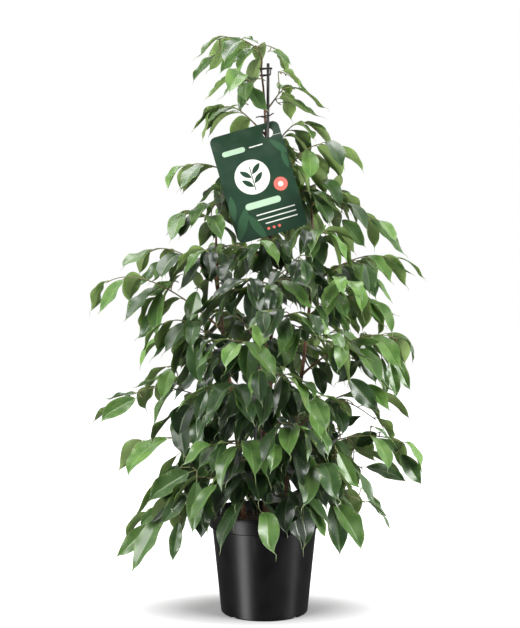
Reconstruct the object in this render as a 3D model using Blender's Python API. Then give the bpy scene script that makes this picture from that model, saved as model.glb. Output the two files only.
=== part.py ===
"""Potted weeping fig: a young tree of five stems in a nursery pot, with a cane, ties and a hang tag.

Units are metres and +Z is up. The origin is the centre of the pot's flat underside, and the
plant's front faces -Y. Each stem is one woody piece with its branches, and each leafy spray is
one green piece that goes on from the end of a branch.
"""

import math
import random

import bmesh
import bpy
from mathutils import Matrix, Vector
from mathutils.bvhtree import BVHTree

UP = Vector((0.0, 0.0, 1.0))
GAP = 0.0003  # clearance between pieces that touch

# Pot
POT_HEIGHT = 0.183
LIP_RADIUS = 0.105
BAND_RADIUS = 0.1025
BAND_FOOT_RADIUS = 0.1005
BAND_DEPTH = 0.028
BAND_STEP = 0.002  # the sloped shoulder under the band
INNER_STEP = 0.003  # how far the same shoulder reaches below the band inside
LIP_DEPTH = 0.005
LIP_ROUND = 0.0015
WALL_TOP_RADIUS = 0.095
BASE_RADIUS = 0.079
FOOT_ROUND = 0.003
WALL = 0.0022
FLOOR = 0.003
POT_SIDES = 32
NOTCHES = 4
NOTCH_SIZE = (0.012, 0.014, 0.009)  # along the foot, inwards, up

# Soil
SOIL_LEVEL = 0.166
SOIL_EDGE = 0.002  # how far its rim lies below its level
SOIL_ROUGHNESS = 0.0016
SOIL_CLEARANCE = 0.0008  # a shrunken root ball stands just clear of the pot
SOIL_RINGS = 3
SOIL_SIDES = 15

# Cane
CANE_RADIUS = 0.00275
CANE_SIDES = 8
CANE_TIP = 0.0012  # a slight taper past the last point
CANE_TIP_RADIUS = 0.0016
CANE_POINTS = [
    (-0.0240, 0.000, 0.1000),
    (-0.0215, 0.000, 0.1730),
    (-0.0084, 0.000, 0.5656),
    (0.0045, 0.000, 0.8000),
    (0.0062, 0.000, 0.8706),
    (0.0068, 0.000, 0.9965),
]

# Hang tag, measured from the centre of its hole
TAG_LEFT = 0.107
TAG_RIGHT = 0.0235
TAG_ABOVE = 0.0205
TAG_BELOW = 0.183
TAG_CORNER = 0.012
TAG_THICKNESS = 0.0011
TAG_HOLE_RADIUS = 0.0095
TAG_HOLE_SIDES = 16
TAG_SLIT = 0.0008
TAG_SLIT_DROP = 0.7  # how far the slit lies below the hole's centre, in hole radii
TAG_TILT = math.radians(16.0)
TAG_CENTRE = (0.0062, 0.0, 0.8706)
TAG_STEEP = math.radians(25.0)  # how far the card leans off the cane at its hole
TAG_SLACK = math.radians(3.0)  # how far the hanging end leans
TAG_BEND_START = 0.012
TAG_BEND_END = 0.072
TAG_BENDS = 5
TAG_MARGIN = 0.006  # kept clear before the card

# Ties
TIE_RADIUS = 0.0011
TOP_TIE_HEIGHTS = (0.9885, 0.9765)
LOW_TIE_HEIGHT = 0.9020
TIE_SIDES = 4
KNOT_RADIUS = 0.0026
KNOT_OFFSET = (0.0012, 0.0, -0.0004)
LOW_TIE_TAIL = [(0.0, 0.0, 0.0), (-0.0060, -0.0040, 0.0), (-0.0135, -0.0050, -0.0020)]
LOW_TIE_END = (0.0065, -0.0020, 0.0035)

# Stems: the points each one passes through, and its radius at the soil and at its tip
STEMS = {
    "main": dict(
        points=[
            (0.004, 0.012, 0.100),
            (0.006, 0.013, 0.250),
            (0.011, 0.012, 0.420),
            (0.0125, 0.013, 0.566),
            (0.010, 0.019, 0.720),
            (0.005, 0.023, 0.830),
            (0.0015, 0.0165, 0.895),
            (-0.001, 0.010, 0.945),
            (-0.0053, 0.0045, 0.983),
            (-0.0045, 0.0035, 1.001),
        ],
        radii=(0.0056, 0.0016),
    ),
    "left": dict(
        points=[
            (-0.035, -0.006, 0.100),
            (-0.041, -0.011, 0.220),
            (-0.055, -0.020, 0.360),
            (-0.074, -0.024, 0.500),
            (-0.086, -0.016, 0.620),
            (-0.088, -0.008, 0.690),
        ],
        radii=(0.0048, 0.0020),
    ),
    "right": dict(
        points=[
            (0.034, 0.000, 0.100),
            (0.040, -0.006, 0.220),
            (0.058, -0.018, 0.360),
            (0.078, -0.022, 0.520),
            (0.088, -0.014, 0.660),
            (0.086, -0.004, 0.730),
        ],
        radii=(0.0048, 0.0020),
    ),
    "back": dict(
        points=[
            (0.002, 0.040, 0.100),
            (0.000, 0.054, 0.240),
            (-0.008, 0.082, 0.420),
            (-0.004, 0.098, 0.600),
            (0.004, 0.096, 0.700),
        ],
        radii=(0.0046, 0.0020),
    ),
    "front": dict(
        points=[
            (0.006, -0.034, 0.100),
            (0.004, -0.046, 0.220),
            (0.000, -0.074, 0.360),
            (0.004, -0.096, 0.480),
            (0.006, -0.106, 0.560),
        ],
        radii=(0.0046, 0.0020),
    ),
}

# Sprays: stem, height where the branch leaves it (None at the stem's own end), the twig's end,
# leaves on it, and where the twig forks, the fork's end and its leaves
SPRAYS = {
    "top_leader": ("main", None, (-0.080, -0.010, 1.040), 7, (0.015, 0.015, 1.030), 2),
    "top_left": ("main", 0.925, (-0.045, -0.020, 0.970), 5, None, 0),
    "top_low_left": ("main", 0.870, (-0.075, 0.020, 0.920), 5, None, 0),
    "top_right": ("main", 0.912, (0.050, 0.010, 0.955), 4, (0.028, 0.015, 0.985), 2),
    "top_low_right": ("main", 0.835, (0.075, 0.010, 0.890), 5, None, 0),
    "upper_right": ("main", 0.770, (0.115, -0.015, 0.845), 6, (0.065, 0.000, 0.835), 3),
    "upper_right_low": ("main", 0.715, (0.120, 0.000, 0.775), 4, (0.080, -0.025, 0.760), 3),
    "upper_left": ("main", 0.745, (-0.145, 0.010, 0.810), 6, None, 0),
    "upper_left_low": ("left", None, (-0.140, -0.005, 0.725), 4, (-0.080, -0.020, 0.755), 4),
    "upper_back": ("main", 0.790, (0.030, 0.105, 0.855), 5, None, 0),
    "upper_back_left": ("main", 0.690, (-0.065, 0.125, 0.775), 6, None, 0),
    "upper_back_right": ("back", None, (0.080, 0.150, 0.745), 6, None, 0),
    "right_1": ("right", None, (0.200, -0.025, 0.710), 5, (0.140, 0.020, 0.765), 4),
    "right_2": ("right", 0.660, (0.105, -0.095, 0.680), 6, None, 0),
    "right_3": ("right", 0.590, (0.230, 0.000, 0.640), 5, (0.170, 0.070, 0.600), 3),
    "right_4": ("right", 0.535, (0.195, 0.030, 0.560), 6, None, 0),
    "right_5": ("right", 0.500, (0.145, -0.105, 0.590), 5, None, 0),
    "right_6": ("right", 0.430, (0.240, 0.000, 0.495), 5, (0.165, -0.060, 0.455), 4),
    "right_7": ("right", 0.330, (0.190, -0.030, 0.395), 4, (0.205, 0.050, 0.345), 3),
    "right_8": ("right", 0.265, (0.250, 0.000, 0.305), 5, (0.170, 0.080, 0.255), 3),
    "right_9": ("right", 0.245, (0.135, -0.095, 0.285), 6, None, 0),
    "right_10": ("right", 0.205, (0.180, 0.020, 0.195), 3, (0.125, -0.060, 0.180), 3),
    "left_1": ("left", 0.600, (-0.205, 0.000, 0.655), 5, (-0.150, 0.060, 0.615), 3),
    "left_2": ("left", 0.560, (-0.100, -0.085, 0.650), 6, None, 0),
    "left_3": ("left", 0.510, (-0.285, 0.010, 0.600), 5, (-0.190, -0.020, 0.560), 3),
    "left_4": ("left", 0.475, (-0.170, -0.080, 0.525), 4, (-0.175, 0.060, 0.490), 3),
    "left_5": ("left", 0.430, (-0.120, -0.120, 0.500), 5, None, 0),
    "left_6": ("left", 0.350, (-0.235, 0.015, 0.395), 4, (-0.170, -0.010, 0.445), 4),
    "left_7": ("left", 0.330, (-0.140, -0.085, 0.375), 6, None, 0),
    "left_8": ("left", 0.255, (-0.220, 0.015, 0.305), 3, (-0.160, -0.050, 0.260), 4),
    "left_9": ("left", 0.205, (-0.195, -0.010, 0.175), 5, (-0.120, -0.100, 0.220), 3),
    "front_1": ("main", 0.640, (0.015, -0.065, 0.670), 5, None, 0),
    "front_right": ("main", 0.560, (0.075, -0.085, 0.640), 5, None, 0),
    "front_2": ("front", None, (0.060, -0.150, 0.620), 4, (-0.045, -0.145, 0.580), 4),
    "front_3": ("front", 0.480, (0.040, -0.195, 0.540), 4, (0.100, -0.165, 0.495), 3),
    "front_4": ("front", 0.440, (-0.040, -0.200, 0.490), 6, None, 0),
    "front_5": ("front", 0.365, (-0.055, -0.205, 0.415), 4, (-0.100, -0.150, 0.350), 3),
    "front_6": ("front", 0.335, (0.030, -0.215, 0.435), 4, (0.080, -0.180, 0.395), 4),
    "front_7": ("front", 0.275, (-0.040, -0.200, 0.320), 5, None, 0),
    "front_8": ("front", 0.250, (0.055, -0.195, 0.350), 4, (0.090, -0.150, 0.285), 3),
    "front_9": ("front", 0.215, (-0.075, -0.145, 0.255), 3, (-0.005, -0.155, 0.205), 3),
    "front_10": ("front", 0.200, (0.065, -0.145, 0.220), 5, None, 0),
    "back_1": ("back", 0.640, (-0.085, 0.180, 0.670), 5, None, 0),
    "back_2": ("back", 0.560, (0.085, 0.195, 0.620), 5, None, 0),
    "back_3": ("back", 0.480, (-0.095, 0.200, 0.545), 6, None, 0),
    "back_4": ("back", 0.420, (0.120, 0.190, 0.490), 4, (0.010, 0.235, 0.450), 3),
    "back_5": ("back", 0.340, (-0.120, 0.190, 0.420), 4, (-0.030, 0.215, 0.350), 3),
    "back_6": ("back", 0.280, (0.130, 0.185, 0.350), 4, (0.050, 0.220, 0.290), 3),
    "back_7": ("back", 0.215, (-0.115, 0.160, 0.265), 4, (0.075, 0.170, 0.210), 3),
}
YOUNG = ("top_leader", "top_left", "upper_right", "right_5", "left_4", "front_4", "front_7", "left_9")
DEEP = ("right_6", "right_7", "left_5", "left_7", "front_2", "back_1", "back_3", "back_4", "back_5")

# Branches and twigs
BRANCH_RISE = 0.9  # how steeply a branch leaves its stem, up for each 1 out
BRANCH_DROOP = 0.5  # how steeply its end falls, down for each 1 out
BRANCH_PULL = (0.36, 0.30)  # its curve's handles at the stem and the tip, of its length
WOODY_SHARE = 0.30  # of each branch, by its curve's parameter
BRANCH_RADIUS = 0.0026
TWIG_RADIUS = 0.0017
TWIG_TIP_RADIUS = 0.0013
BRANCH_SIDES = 3
STEM_SIDES = 6
WOODY_POINTS = 3
TWIG_POINTS = 5
FORK_POINTS = 3
FORK_AT = 0.30  # where a fork leaves its twig
FORK_FOLLOW = 0.6  # how far a fork starts along its twig, for each 1 towards its own end

# Leaves
LEAF_LENGTH_LOW = 0.120  # with its stalk, near the pot
LEAF_LENGTH_TOP = 0.090
LEAF_ASPECT = 0.38  # blade width to leaf length
LEAF_FIRST = 0.06  # where the first and last leaves stand on their twig
LEAF_LAST = 0.985
LEAF_TURN = (0.2, 1.3)  # radians off the twig's own outward way
LEAF_LEAN = (0.15, 0.65)  # how far it leans out for each 1 that it hangs down
LEAF_START = (0.35, 0.65, 0.20)  # the stalk's way: along the twig, out and up
LEAF_ARCH = (0.26, 0.46)  # the share of its length before it hangs
LEAF_SLACK = 1.05  # its middle line cuts the corner of its arch
LEAF_FACE_UP = 0.5  # how far its face looks up for each 1 that it looks out
LEAF_SCALE = (0.84, 1.12)
LAST_LEAF_SCALE = 0.86
WIDTH_SCALE = (0.9, 1.1)
CROWN_HEIGHT = 0.84
LEAF_THICKNESS = 0.0008
LEAF_SPREAD = 0.16  # how much a leaf's direction varies
RETRY_SPREAD = 0.12  # how much more at each further try
STALK_SHARE = 0.17  # of the leaf's length
STALK_WIDTH = 0.0018
STALK_ROOT_WIDTH = 0.0008
BLADE_SKEW = 0.756  # sets the widest place, two fifths of the way along
BLADE_FULLNESS = 0.8
BLADE_DRIP = 0.9  # how hard the tip is drawn in
LEAF_STATIONS = (0.0, 0.30, 0.68)  # along the blade
LEAF_TRIES = 14
LEAF_CLEARANCE = 0.0005

COLOURS = {
    "pot": ((0.012, 0.012, 0.014), 0.32),
    "soil": ((0.020, 0.013, 0.009), 0.95),
    "stem": ((0.130, 0.060, 0.032), 0.70),
    "cane": ((0.015, 0.015, 0.015), 0.45),
    "tie": ((0.012, 0.012, 0.012), 0.50),
    "tag": ((0.023, 0.068, 0.034), 0.45),
    "young": ((0.150, 0.330, 0.045), 0.38),
    "mid": ((0.050, 0.145, 0.025), 0.36),
    "deep": ((0.018, 0.060, 0.018), 0.34),
}


# Scene helpers

def clear_scene():
    for obj in list(bpy.data.objects):
        bpy.data.objects.remove(obj, do_unlink=True)


def material(finish):
    found = bpy.data.materials.get(finish)
    if found:
        return found
    made = bpy.data.materials.new(finish)
    made.use_nodes = True
    shader = made.node_tree.nodes["Principled BSDF"]
    colour, roughness = COLOURS[finish]
    shader.inputs["Base Color"].default_value = (*colour, 1.0)
    shader.inputs["Roughness"].default_value = roughness
    shader.inputs["Metallic"].default_value = 0.0
    return made


def link(name, mesh, finish=None):
    obj = bpy.data.objects.new(name, mesh)
    bpy.context.scene.collection.objects.link(obj)
    if finish:
        obj.data.materials.clear()
        obj.data.materials.append(material(finish))
    return obj


def mesh_from(vertices, faces, name):
    mesh = bpy.data.meshes.new(name)
    mesh.from_pydata([tuple(v) for v in vertices], [], faces)
    work = bmesh.new()
    work.from_mesh(mesh)
    bmesh.ops.recalc_face_normals(work, faces=work.faces)
    work.to_mesh(mesh)
    work.free()
    return mesh


def apply_modifiers(obj):
    graph = bpy.context.evaluated_depsgraph_get()
    made = bpy.data.meshes.new_from_object(obj.evaluated_get(graph))
    obj.modifiers.clear()
    obj.data = made


def combine(base, others, operation, solver="EXACT"):
    """One Boolean with all the other objects, applied, after which they are removed."""
    group = bpy.data.collections.new(base.name + "_parts")
    bpy.context.scene.collection.children.link(group)
    for other in others:
        group.objects.link(other)
    boolean = base.modifiers.new("combine", "BOOLEAN")
    boolean.operation = operation
    boolean.operand_type = "COLLECTION"
    boolean.collection = group
    boolean.solver = solver
    apply_modifiers(base)
    for other in others:
        bpy.data.objects.remove(other, do_unlink=True)
    bpy.data.collections.remove(group)


def smooth(obj, angle=40.0):
    obj.data.shade_smooth()
    obj.data.set_sharp_from_angle(angle=math.radians(angle))


# Curves and tubes

def smooth_path(points, steps):
    """Catmull-Rom samples through the points, with `steps` to each span."""
    points = [Vector(p) for p in points]
    ends = [points[0] * 2 - points[1]] + points + [points[-1] * 2 - points[-2]]
    path = []
    for a, b, c, d in zip(ends, ends[1:], ends[2:], ends[3:]):
        for step in range(steps):
            t = step / steps
            path.append(0.5 * (2 * b + (c - a) * t + (2 * a - 5 * b + 4 * c - d) * t * t
                               + (3 * b - a - 3 * c + d) * t * t * t))
    path.append(points[-1])
    return path


def point_at_height(path, height):
    for low, high in zip(path, path[1:]):
        if low.z <= height <= high.z:
            return low.lerp(high, (height - low.z) / (high.z - low.z))
    return path[-1].copy()


def cubic(controls, t):
    a, b, c, d = controls
    s = 1.0 - t
    return a * s ** 3 + b * 3 * s * s * t + c * 3 * s * t * t + d * t ** 3


def cubic_direction(controls, t):
    a, b, c, d = controls
    s = 1.0 - t
    return ((b - a) * s * s + (c - b) * 2 * s * t + (d - c) * t * t).normalized()


def flat(vector):
    return Vector((vector.x, vector.y, 0.0))


def tube(points, radii, sides, first=None):
    """Vertices and faces of a round tube with flat ends; `first` squares its first end."""
    vertices = []
    across = None
    last = len(points) - 1
    for index, point in enumerate(points):
        along = (points[min(index + 1, last)] - points[max(index - 1, 0)]).normalized()
        if first and index == 0:
            along = first
        seed = across if across else (along.cross(UP) if abs(along.z) < 0.9 else Vector((1, 0, 0)))
        across = (seed - along * seed.dot(along)).normalized()
        beside = along.cross(across)
        for side in range(sides):
            angle = 2 * math.pi * (side + 0.5) / sides
            spoke = across * math.cos(angle) + beside * math.sin(angle)
            vertices.append(point + spoke * radii[index])
    faces = []
    for ring in range(last):
        for side in range(sides):
            a = ring * sides + side
            b = ring * sides + (side + 1) % sides
            faces.append((a, b, b + sides, a + sides))
    faces.append(tuple(reversed(range(sides))))
    faces.append(tuple(range(last * sides, (last + 1) * sides)))
    return vertices, faces


def taper(start, end, count):
    return [start + (end - start) * i / (count - 1) for i in range(count)]


# Pot and soil

def pot_profile():
    band_foot = POT_HEIGHT - BAND_DEPTH
    return [
        (0.0, 0.0),
        (BASE_RADIUS - FOOT_ROUND, 0.0),
        (BASE_RADIUS, FOOT_ROUND),
        (WALL_TOP_RADIUS, band_foot - BAND_STEP),
        (BAND_FOOT_RADIUS, band_foot),
        (BAND_RADIUS, POT_HEIGHT - LIP_DEPTH),
        (LIP_RADIUS, POT_HEIGHT - LIP_DEPTH + LIP_ROUND),
        (LIP_RADIUS - LIP_ROUND, POT_HEIGHT),
        (BAND_RADIUS - WALL, POT_HEIGHT - LIP_ROUND),
        (BAND_FOOT_RADIUS - WALL, band_foot + BAND_STEP),
        (WALL_TOP_RADIUS - WALL, band_foot - INNER_STEP),
        (BASE_RADIUS - WALL, FLOOR),
        (0.0, FLOOR),
    ]


def turned(profile, sides):
    """A closed turned body from a profile that starts and ends on the axis."""
    vertices = [Vector((0.0, 0.0, profile[0][1])), Vector((0.0, 0.0, profile[-1][1]))]
    rings = profile[1:-1]
    for radius, height in rings:
        for side in range(sides):
            angle = 2 * math.pi * side / sides
            vertices.append(Vector((radius * math.cos(angle), radius * math.sin(angle), height)))
    faces = []
    for side in range(sides):
        after = (side + 1) % sides
        faces.append((0, 2 + after, 2 + side))
        for ring in range(len(rings) - 1):
            a = 2 + ring * sides
            faces.append((a + side, a + after, a + sides + after, a + sides + side))
        top = 2 + (len(rings) - 1) * sides
        faces.append((1, top + side, top + after))
    return vertices, faces


def box(centre, size, turn):
    """A box whose middle is at `centre`, turned about the vertical axis."""
    corners = []
    for x, y, z in ((-1, -1, -1), (1, -1, -1), (1, 1, -1), (-1, 1, -1),
                    (-1, -1, 1), (1, -1, 1), (1, 1, 1), (-1, 1, 1)):
        dx = x * size[0] / 2
        dy = y * size[1] / 2
        corners.append(Vector((
            centre[0] + dx * math.cos(turn) - dy * math.sin(turn),
            centre[1] + dx * math.sin(turn) + dy * math.cos(turn),
            centre[2] + z * size[2] / 2,
        )))
    faces = [(0, 1, 2, 3), (4, 5, 6, 7), (0, 1, 5, 4), (1, 2, 6, 5), (2, 3, 7, 6), (3, 0, 4, 7)]
    return corners, faces


def make_pot():
    pot = link("pot", mesh_from(*turned(pot_profile(), POT_SIDES), "pot"), "pot")
    cutters = []
    for index in range(NOTCHES):
        turn = 2 * math.pi * (index + 0.5) / NOTCHES
        centre = (BASE_RADIUS * math.cos(turn), BASE_RADIUS * math.sin(turn), 0.0)
        shape = box(centre, (NOTCH_SIZE[1], NOTCH_SIZE[0], NOTCH_SIZE[2]), turn)
        cutters.append(link(f"notch_{index}", mesh_from(*shape, "notch")))
    combine(pot, cutters, "DIFFERENCE")
    smooth(pot)
    return pot


def hole(name, path, radius, sides):
    """The cutter for a plain hole round a stem or the cane, along its own line."""
    points = [point.copy() for point in path if point.z < SOIL_LEVEL]
    points.append(path[len(points)])
    points[0] -= (points[1] - points[0]).normalized() * GAP * 2
    shape = tube(points, [radius + GAP * 2] * len(points), sides)
    return link("hole_" + name, mesh_from(*shape, "hole"))


def make_soil(stem_paths, cane_path):
    draw = random.Random("soil")
    band_foot = POT_HEIGHT - BAND_DEPTH
    edge = BAND_FOOT_RADIUS - WALL - SOIL_CLEARANCE
    profile = [
        (0.0, FLOOR + GAP),
        (BASE_RADIUS - WALL - SOIL_CLEARANCE, FLOOR + GAP),
        (WALL_TOP_RADIUS - WALL - SOIL_CLEARANCE, band_foot - INNER_STEP),
        (edge, band_foot + 2 * BAND_STEP),
        (edge, SOIL_LEVEL - SOIL_EDGE),
    ]
    rings = [(edge * (1 - (i + 1) / (SOIL_RINGS + 1)), SOIL_LEVEL) for i in range(SOIL_RINGS)]
    vertices, faces = turned(profile + rings + [(0.0, SOIL_LEVEL)], SOIL_SIDES)
    for vertex in vertices:
        if vertex.z >= SOIL_LEVEL:
            vertex.z += draw.uniform(-SOIL_ROUGHNESS, SOIL_ROUGHNESS)
    soil = link("soil", mesh_from(vertices, faces, "soil"), "soil")
    holes = [hole(name, path, STEMS[name]["radii"][0], STEM_SIDES) for name, path in stem_paths.items()]
    holes.append(hole("cane", cane_path, CANE_RADIUS, CANE_SIDES))
    combine(soil, holes, "DIFFERENCE")
    smooth(soil)
    return soil


# Cane, ties and tag

def make_cane(path):
    radii = [CANE_RADIUS] * len(path)
    tip = path[-1] + (path[-1] - path[-2]).normalized() * CANE_TIP
    shape = tube(path + [tip], radii + [CANE_TIP_RADIUS], CANE_SIDES)
    cane = link("cane", mesh_from(*shape, "cane"), "cane")
    smooth(cane)
    return cane


def loop_round(first, second, steps=3):
    """Points of a level loop drawn tight round two upright rods, each (centre, radius)."""
    (a, ra), (b, rb) = first, second
    line = flat(b - a).normalized()
    beside = Vector((-line.y, line.x, 0.0))
    points = []
    for centre, radius, start in ((b, rb, -math.pi / 2), (a, ra, math.pi / 2)):
        for step in range(steps + 1):
            angle = start + math.pi * step / steps
            spoke = line * math.cos(angle) + beside * math.sin(angle)
            points.append(centre + spoke * (radius + GAP + TIE_RADIUS) / math.cos(math.pi / 2 / steps))
    return points


def ring_tube(points, radius, sides):
    """A tube along a closed loop of points."""
    count = len(points)
    vertices = []
    for index, point in enumerate(points):
        along = (points[(index + 1) % count] - points[index - 1]).normalized()
        outward = along.cross(UP).normalized()
        for side in range(sides):
            angle = 2 * math.pi * side / sides
            vertices.append(point + outward * math.cos(angle) * radius + UP * math.sin(angle) * radius)
    faces = []
    for ring in range(count):
        after = (ring + 1) % count
        for side in range(sides):
            beside = (side + 1) % sides
            faces.append((ring * sides + side, ring * sides + beside,
                          after * sides + beside, after * sides + side))
    return vertices, faces


def knot_shape(centre, radius):
    work = bmesh.new()
    bmesh.ops.create_icosphere(work, subdivisions=1, radius=radius, matrix=Matrix.Translation(centre))
    vertices = [v.co.copy() for v in work.verts]
    faces = [tuple(v.index for v in f.verts) for f in work.faces]
    work.free()
    return vertices, faces


def tie_loop(height, stem_path, cane_path):
    stem_point = point_at_height(stem_path, height)
    cane_point = point_at_height(cane_path, height)
    stem_rod = (stem_point, stem_radius("main", stem_path, height))
    return loop_round(stem_rod, (cane_point, CANE_RADIUS))


def make_ties(stem_path, cane_path):
    loops = [tie_loop(height, stem_path, cane_path) for height in TOP_TIE_HEIGHTS]
    bodies = [ring_tube(loop, TIE_RADIUS, TIE_SIDES) for loop in loops]
    strand = [max(loop, key=lambda p: p.x) for loop in loops]
    bodies.append(tube(strand, [TIE_RADIUS] * 2, TIE_SIDES))
    bodies.append(knot_shape(strand[0] + Vector(KNOT_OFFSET), KNOT_RADIUS))
    top = fuse("tie_top", bodies, "tie")

    loop = tie_loop(LOW_TIE_HEIGHT, stem_path, cane_path)
    right = max(loop, key=lambda p: p.x)
    left = min(loop, key=lambda p: p.x)
    tail = [left + Vector(step) for step in LOW_TIE_TAIL]
    bodies = [
        ring_tube(loop, TIE_RADIUS, TIE_SIDES),
        knot_shape(left - Vector(KNOT_OFFSET), KNOT_RADIUS),
        tube(tail, [TIE_RADIUS] * len(tail), TIE_SIDES),
        tube([right, right + Vector(LOW_TIE_END)], [TIE_RADIUS] * 2, TIE_SIDES),
    ]
    low = fuse("tie_low", bodies, "tie")
    return top, low


def tag_lean(depth):
    """How far the card's middle stands forward at a depth below the hole's centre."""
    if depth <= TAG_BEND_START:
        return depth * math.tan(TAG_STEEP)
    forward = TAG_BEND_START * math.tan(TAG_STEEP)
    row = (TAG_BEND_END - TAG_BEND_START) / TAG_BENDS
    for bend in range(TAG_BENDS):
        share = (bend + 1) / (TAG_BENDS + 1)
        slope = math.tan(TAG_STEEP + (TAG_SLACK - TAG_STEEP) * share)
        start = TAG_BEND_START + bend * row
        forward += slope * min(max(depth - start, 0.0), row)
    return forward + math.tan(TAG_SLACK) * max(depth - TAG_BEND_END, 0.0)


def arc(centre, radius, start, end, steps):
    return [
        (centre[0] + radius * math.cos(start + (end - start) * i / steps),
         centre[1] + radius * math.sin(start + (end - start) * i / steps))
        for i in range(steps + 1)
    ]


def tag_outline():
    """The card's edge, in along the slit, round the hole and out again."""
    inset = TAG_CORNER
    left = inset - TAG_LEFT
    right = TAG_RIGHT - inset
    top = TAG_ABOVE - inset
    bottom = inset - TAG_BELOW
    slit = -TAG_SLIT_DROP * TAG_HOLE_RADIUS
    slit_top = slit + TAG_SLIT / 2
    slit_bottom = slit - TAG_SLIT / 2
    quarter = math.pi / 2
    outline = [(TAG_RIGHT, slit_bottom)]
    outline += arc((right, bottom), inset, 0.0, -quarter, 4)
    outline += arc((left, bottom), inset, -quarter, -2 * quarter, 4)
    outline += arc((left, top), inset, 2 * quarter, quarter, 4)
    outline += arc((right, top), inset, quarter, 0.0, 4)
    outline.append((TAG_RIGHT, slit_top))
    start = math.asin(slit_top / TAG_HOLE_RADIUS)
    end = math.asin(slit_bottom / TAG_HOLE_RADIUS) + 2 * math.pi
    outline += arc((0.0, 0.0), TAG_HOLE_RADIUS, start, end, TAG_HOLE_SIDES)
    return outline


def make_tag():
    work = bmesh.new()
    rim = [work.verts.new((x, -TAG_THICKNESS / 2, z)) for x, z in tag_outline()]
    face = work.faces.new(rim)
    grown = bmesh.ops.extrude_face_region(work, geom=[face])
    for item in grown["geom"]:
        if isinstance(item, bmesh.types.BMVert):
            item.co.y += TAG_THICKNESS
    for bend in range(TAG_BENDS + 1):
        depth = TAG_BEND_START + (TAG_BEND_END - TAG_BEND_START) * bend / TAG_BENDS
        everything = work.verts[:] + work.edges[:] + work.faces[:]
        bmesh.ops.bisect_plane(work, geom=everything, plane_co=(0, 0, -depth), plane_no=(0, 0, 1))
    for vertex in work.verts:
        vertex.co.y -= tag_lean(-vertex.co.z)
    bmesh.ops.triangulate(work, faces=work.faces)
    bmesh.ops.recalc_face_normals(work, faces=work.faces)
    work.transform(Matrix.Translation(TAG_CENTRE) @ Matrix.Rotation(-TAG_TILT, 4, "Y"))
    mesh = bpy.data.meshes.new("tag")
    work.to_mesh(mesh)
    work.free()
    tag = link("tag", mesh, "tag")
    smooth(tag, 20.0)
    return tag


def hides_tag(point):
    """Whether a point lies before the card, where it would hide the card's face."""
    local = Matrix.Rotation(TAG_TILT, 4, "Y") @ (point - Vector(TAG_CENTRE))
    across = -TAG_LEFT - TAG_MARGIN < local.x < TAG_RIGHT + TAG_MARGIN
    down = -TAG_BELOW - TAG_MARGIN < local.z < TAG_ABOVE + TAG_MARGIN
    return across and down and local.y < TAG_MARGIN - tag_lean(-local.z)


# Stems and branches

def stem_radius(name, path, height):
    start, end = STEMS[name]["radii"]
    share = (height - path[0].z) / (path[-1].z - path[0].z)
    return start + (end - start) * share


def branch_curve(root, tip, start):
    """A cubic from a stem to a twig's end: it rises from the root and droops at the tip."""
    span = (tip - root).length
    outward = flat(tip - root).normalized()
    droop = (outward - UP * BRANCH_DROOP).normalized()
    return [root, root + start * span * BRANCH_PULL[0], tip - droop * span * BRANCH_PULL[1], tip]


def spray_curve(name, stem_paths):
    stem, height, tip, *_ = SPRAYS[name]
    path = stem_paths[stem]
    tip = Vector(tip)
    if height is None:
        start = (path[-1] - path[-2]).normalized()
        return branch_curve(path[-1] + start * GAP, tip, start)
    root = point_at_height(path, height)
    start = (flat(tip - root).normalized() + UP * BRANCH_RISE).normalized()
    return branch_curve(root, tip, start)


def curve_stretch(controls, start, end, count):
    return [cubic(controls, start + (end - start) * i / (count - 1)) for i in range(count)]


def make_stem(name, path, curves):
    radii = [stem_radius(name, path, point.z) for point in path]
    bodies = [tube(path, radii, STEM_SIDES)]
    for spray, controls in curves.items():
        if SPRAYS[spray][0] == name and SPRAYS[spray][1] is not None:
            points = curve_stretch(controls, 0.0, WOODY_SHARE, WOODY_POINTS)
            radii = taper(BRANCH_RADIUS, TWIG_RADIUS, WOODY_POINTS)
            bodies.append(tube(points, radii, BRANCH_SIDES))
    return fuse("stem_" + name, bodies, "stem")


# Twigs and leaves

def along_path(points, share):
    """The point a share of the way along a path, and the way the path runs there."""
    place = share * (len(points) - 1)
    index = min(int(place), len(points) - 2)
    low, high = points[index], points[index + 1]
    return low.lerp(high, place - index), (high - low).normalized()


def twig_parts(name, controls):
    """The green twig and its fork: for each, its points, first way, radius and leaf count."""
    stem, height, _, count, fork_tip, fork_count = SPRAYS[name]
    span = (controls[3] - controls[0]).length
    begin = 0.0 if height is None else WOODY_SHARE + GAP / span
    thick = STEMS[stem]["radii"][1] if height is None else TWIG_RADIUS
    points = curve_stretch(controls, begin, 1.0, TWIG_POINTS)
    parts = [dict(points=points, first=cubic_direction(controls, begin), thick=thick, count=count)]
    if fork_tip:
        root, along = along_path(points, FORK_AT)
        tip = Vector(fork_tip)
        start = (along * FORK_FOLLOW + (tip - root).normalized()).normalized()
        points = curve_stretch(branch_curve(root, tip, start), 0.0, 1.0, FORK_POINTS)
        parts.append(dict(points=points, first=start, thick=TWIG_RADIUS, count=fork_count))
    return parts


def twig_shape(part):
    radii = taper(part["thick"], TWIG_TIP_RADIUS, len(part["points"]))
    return tube(part["points"], radii, BRANCH_SIDES, part["first"])


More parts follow.
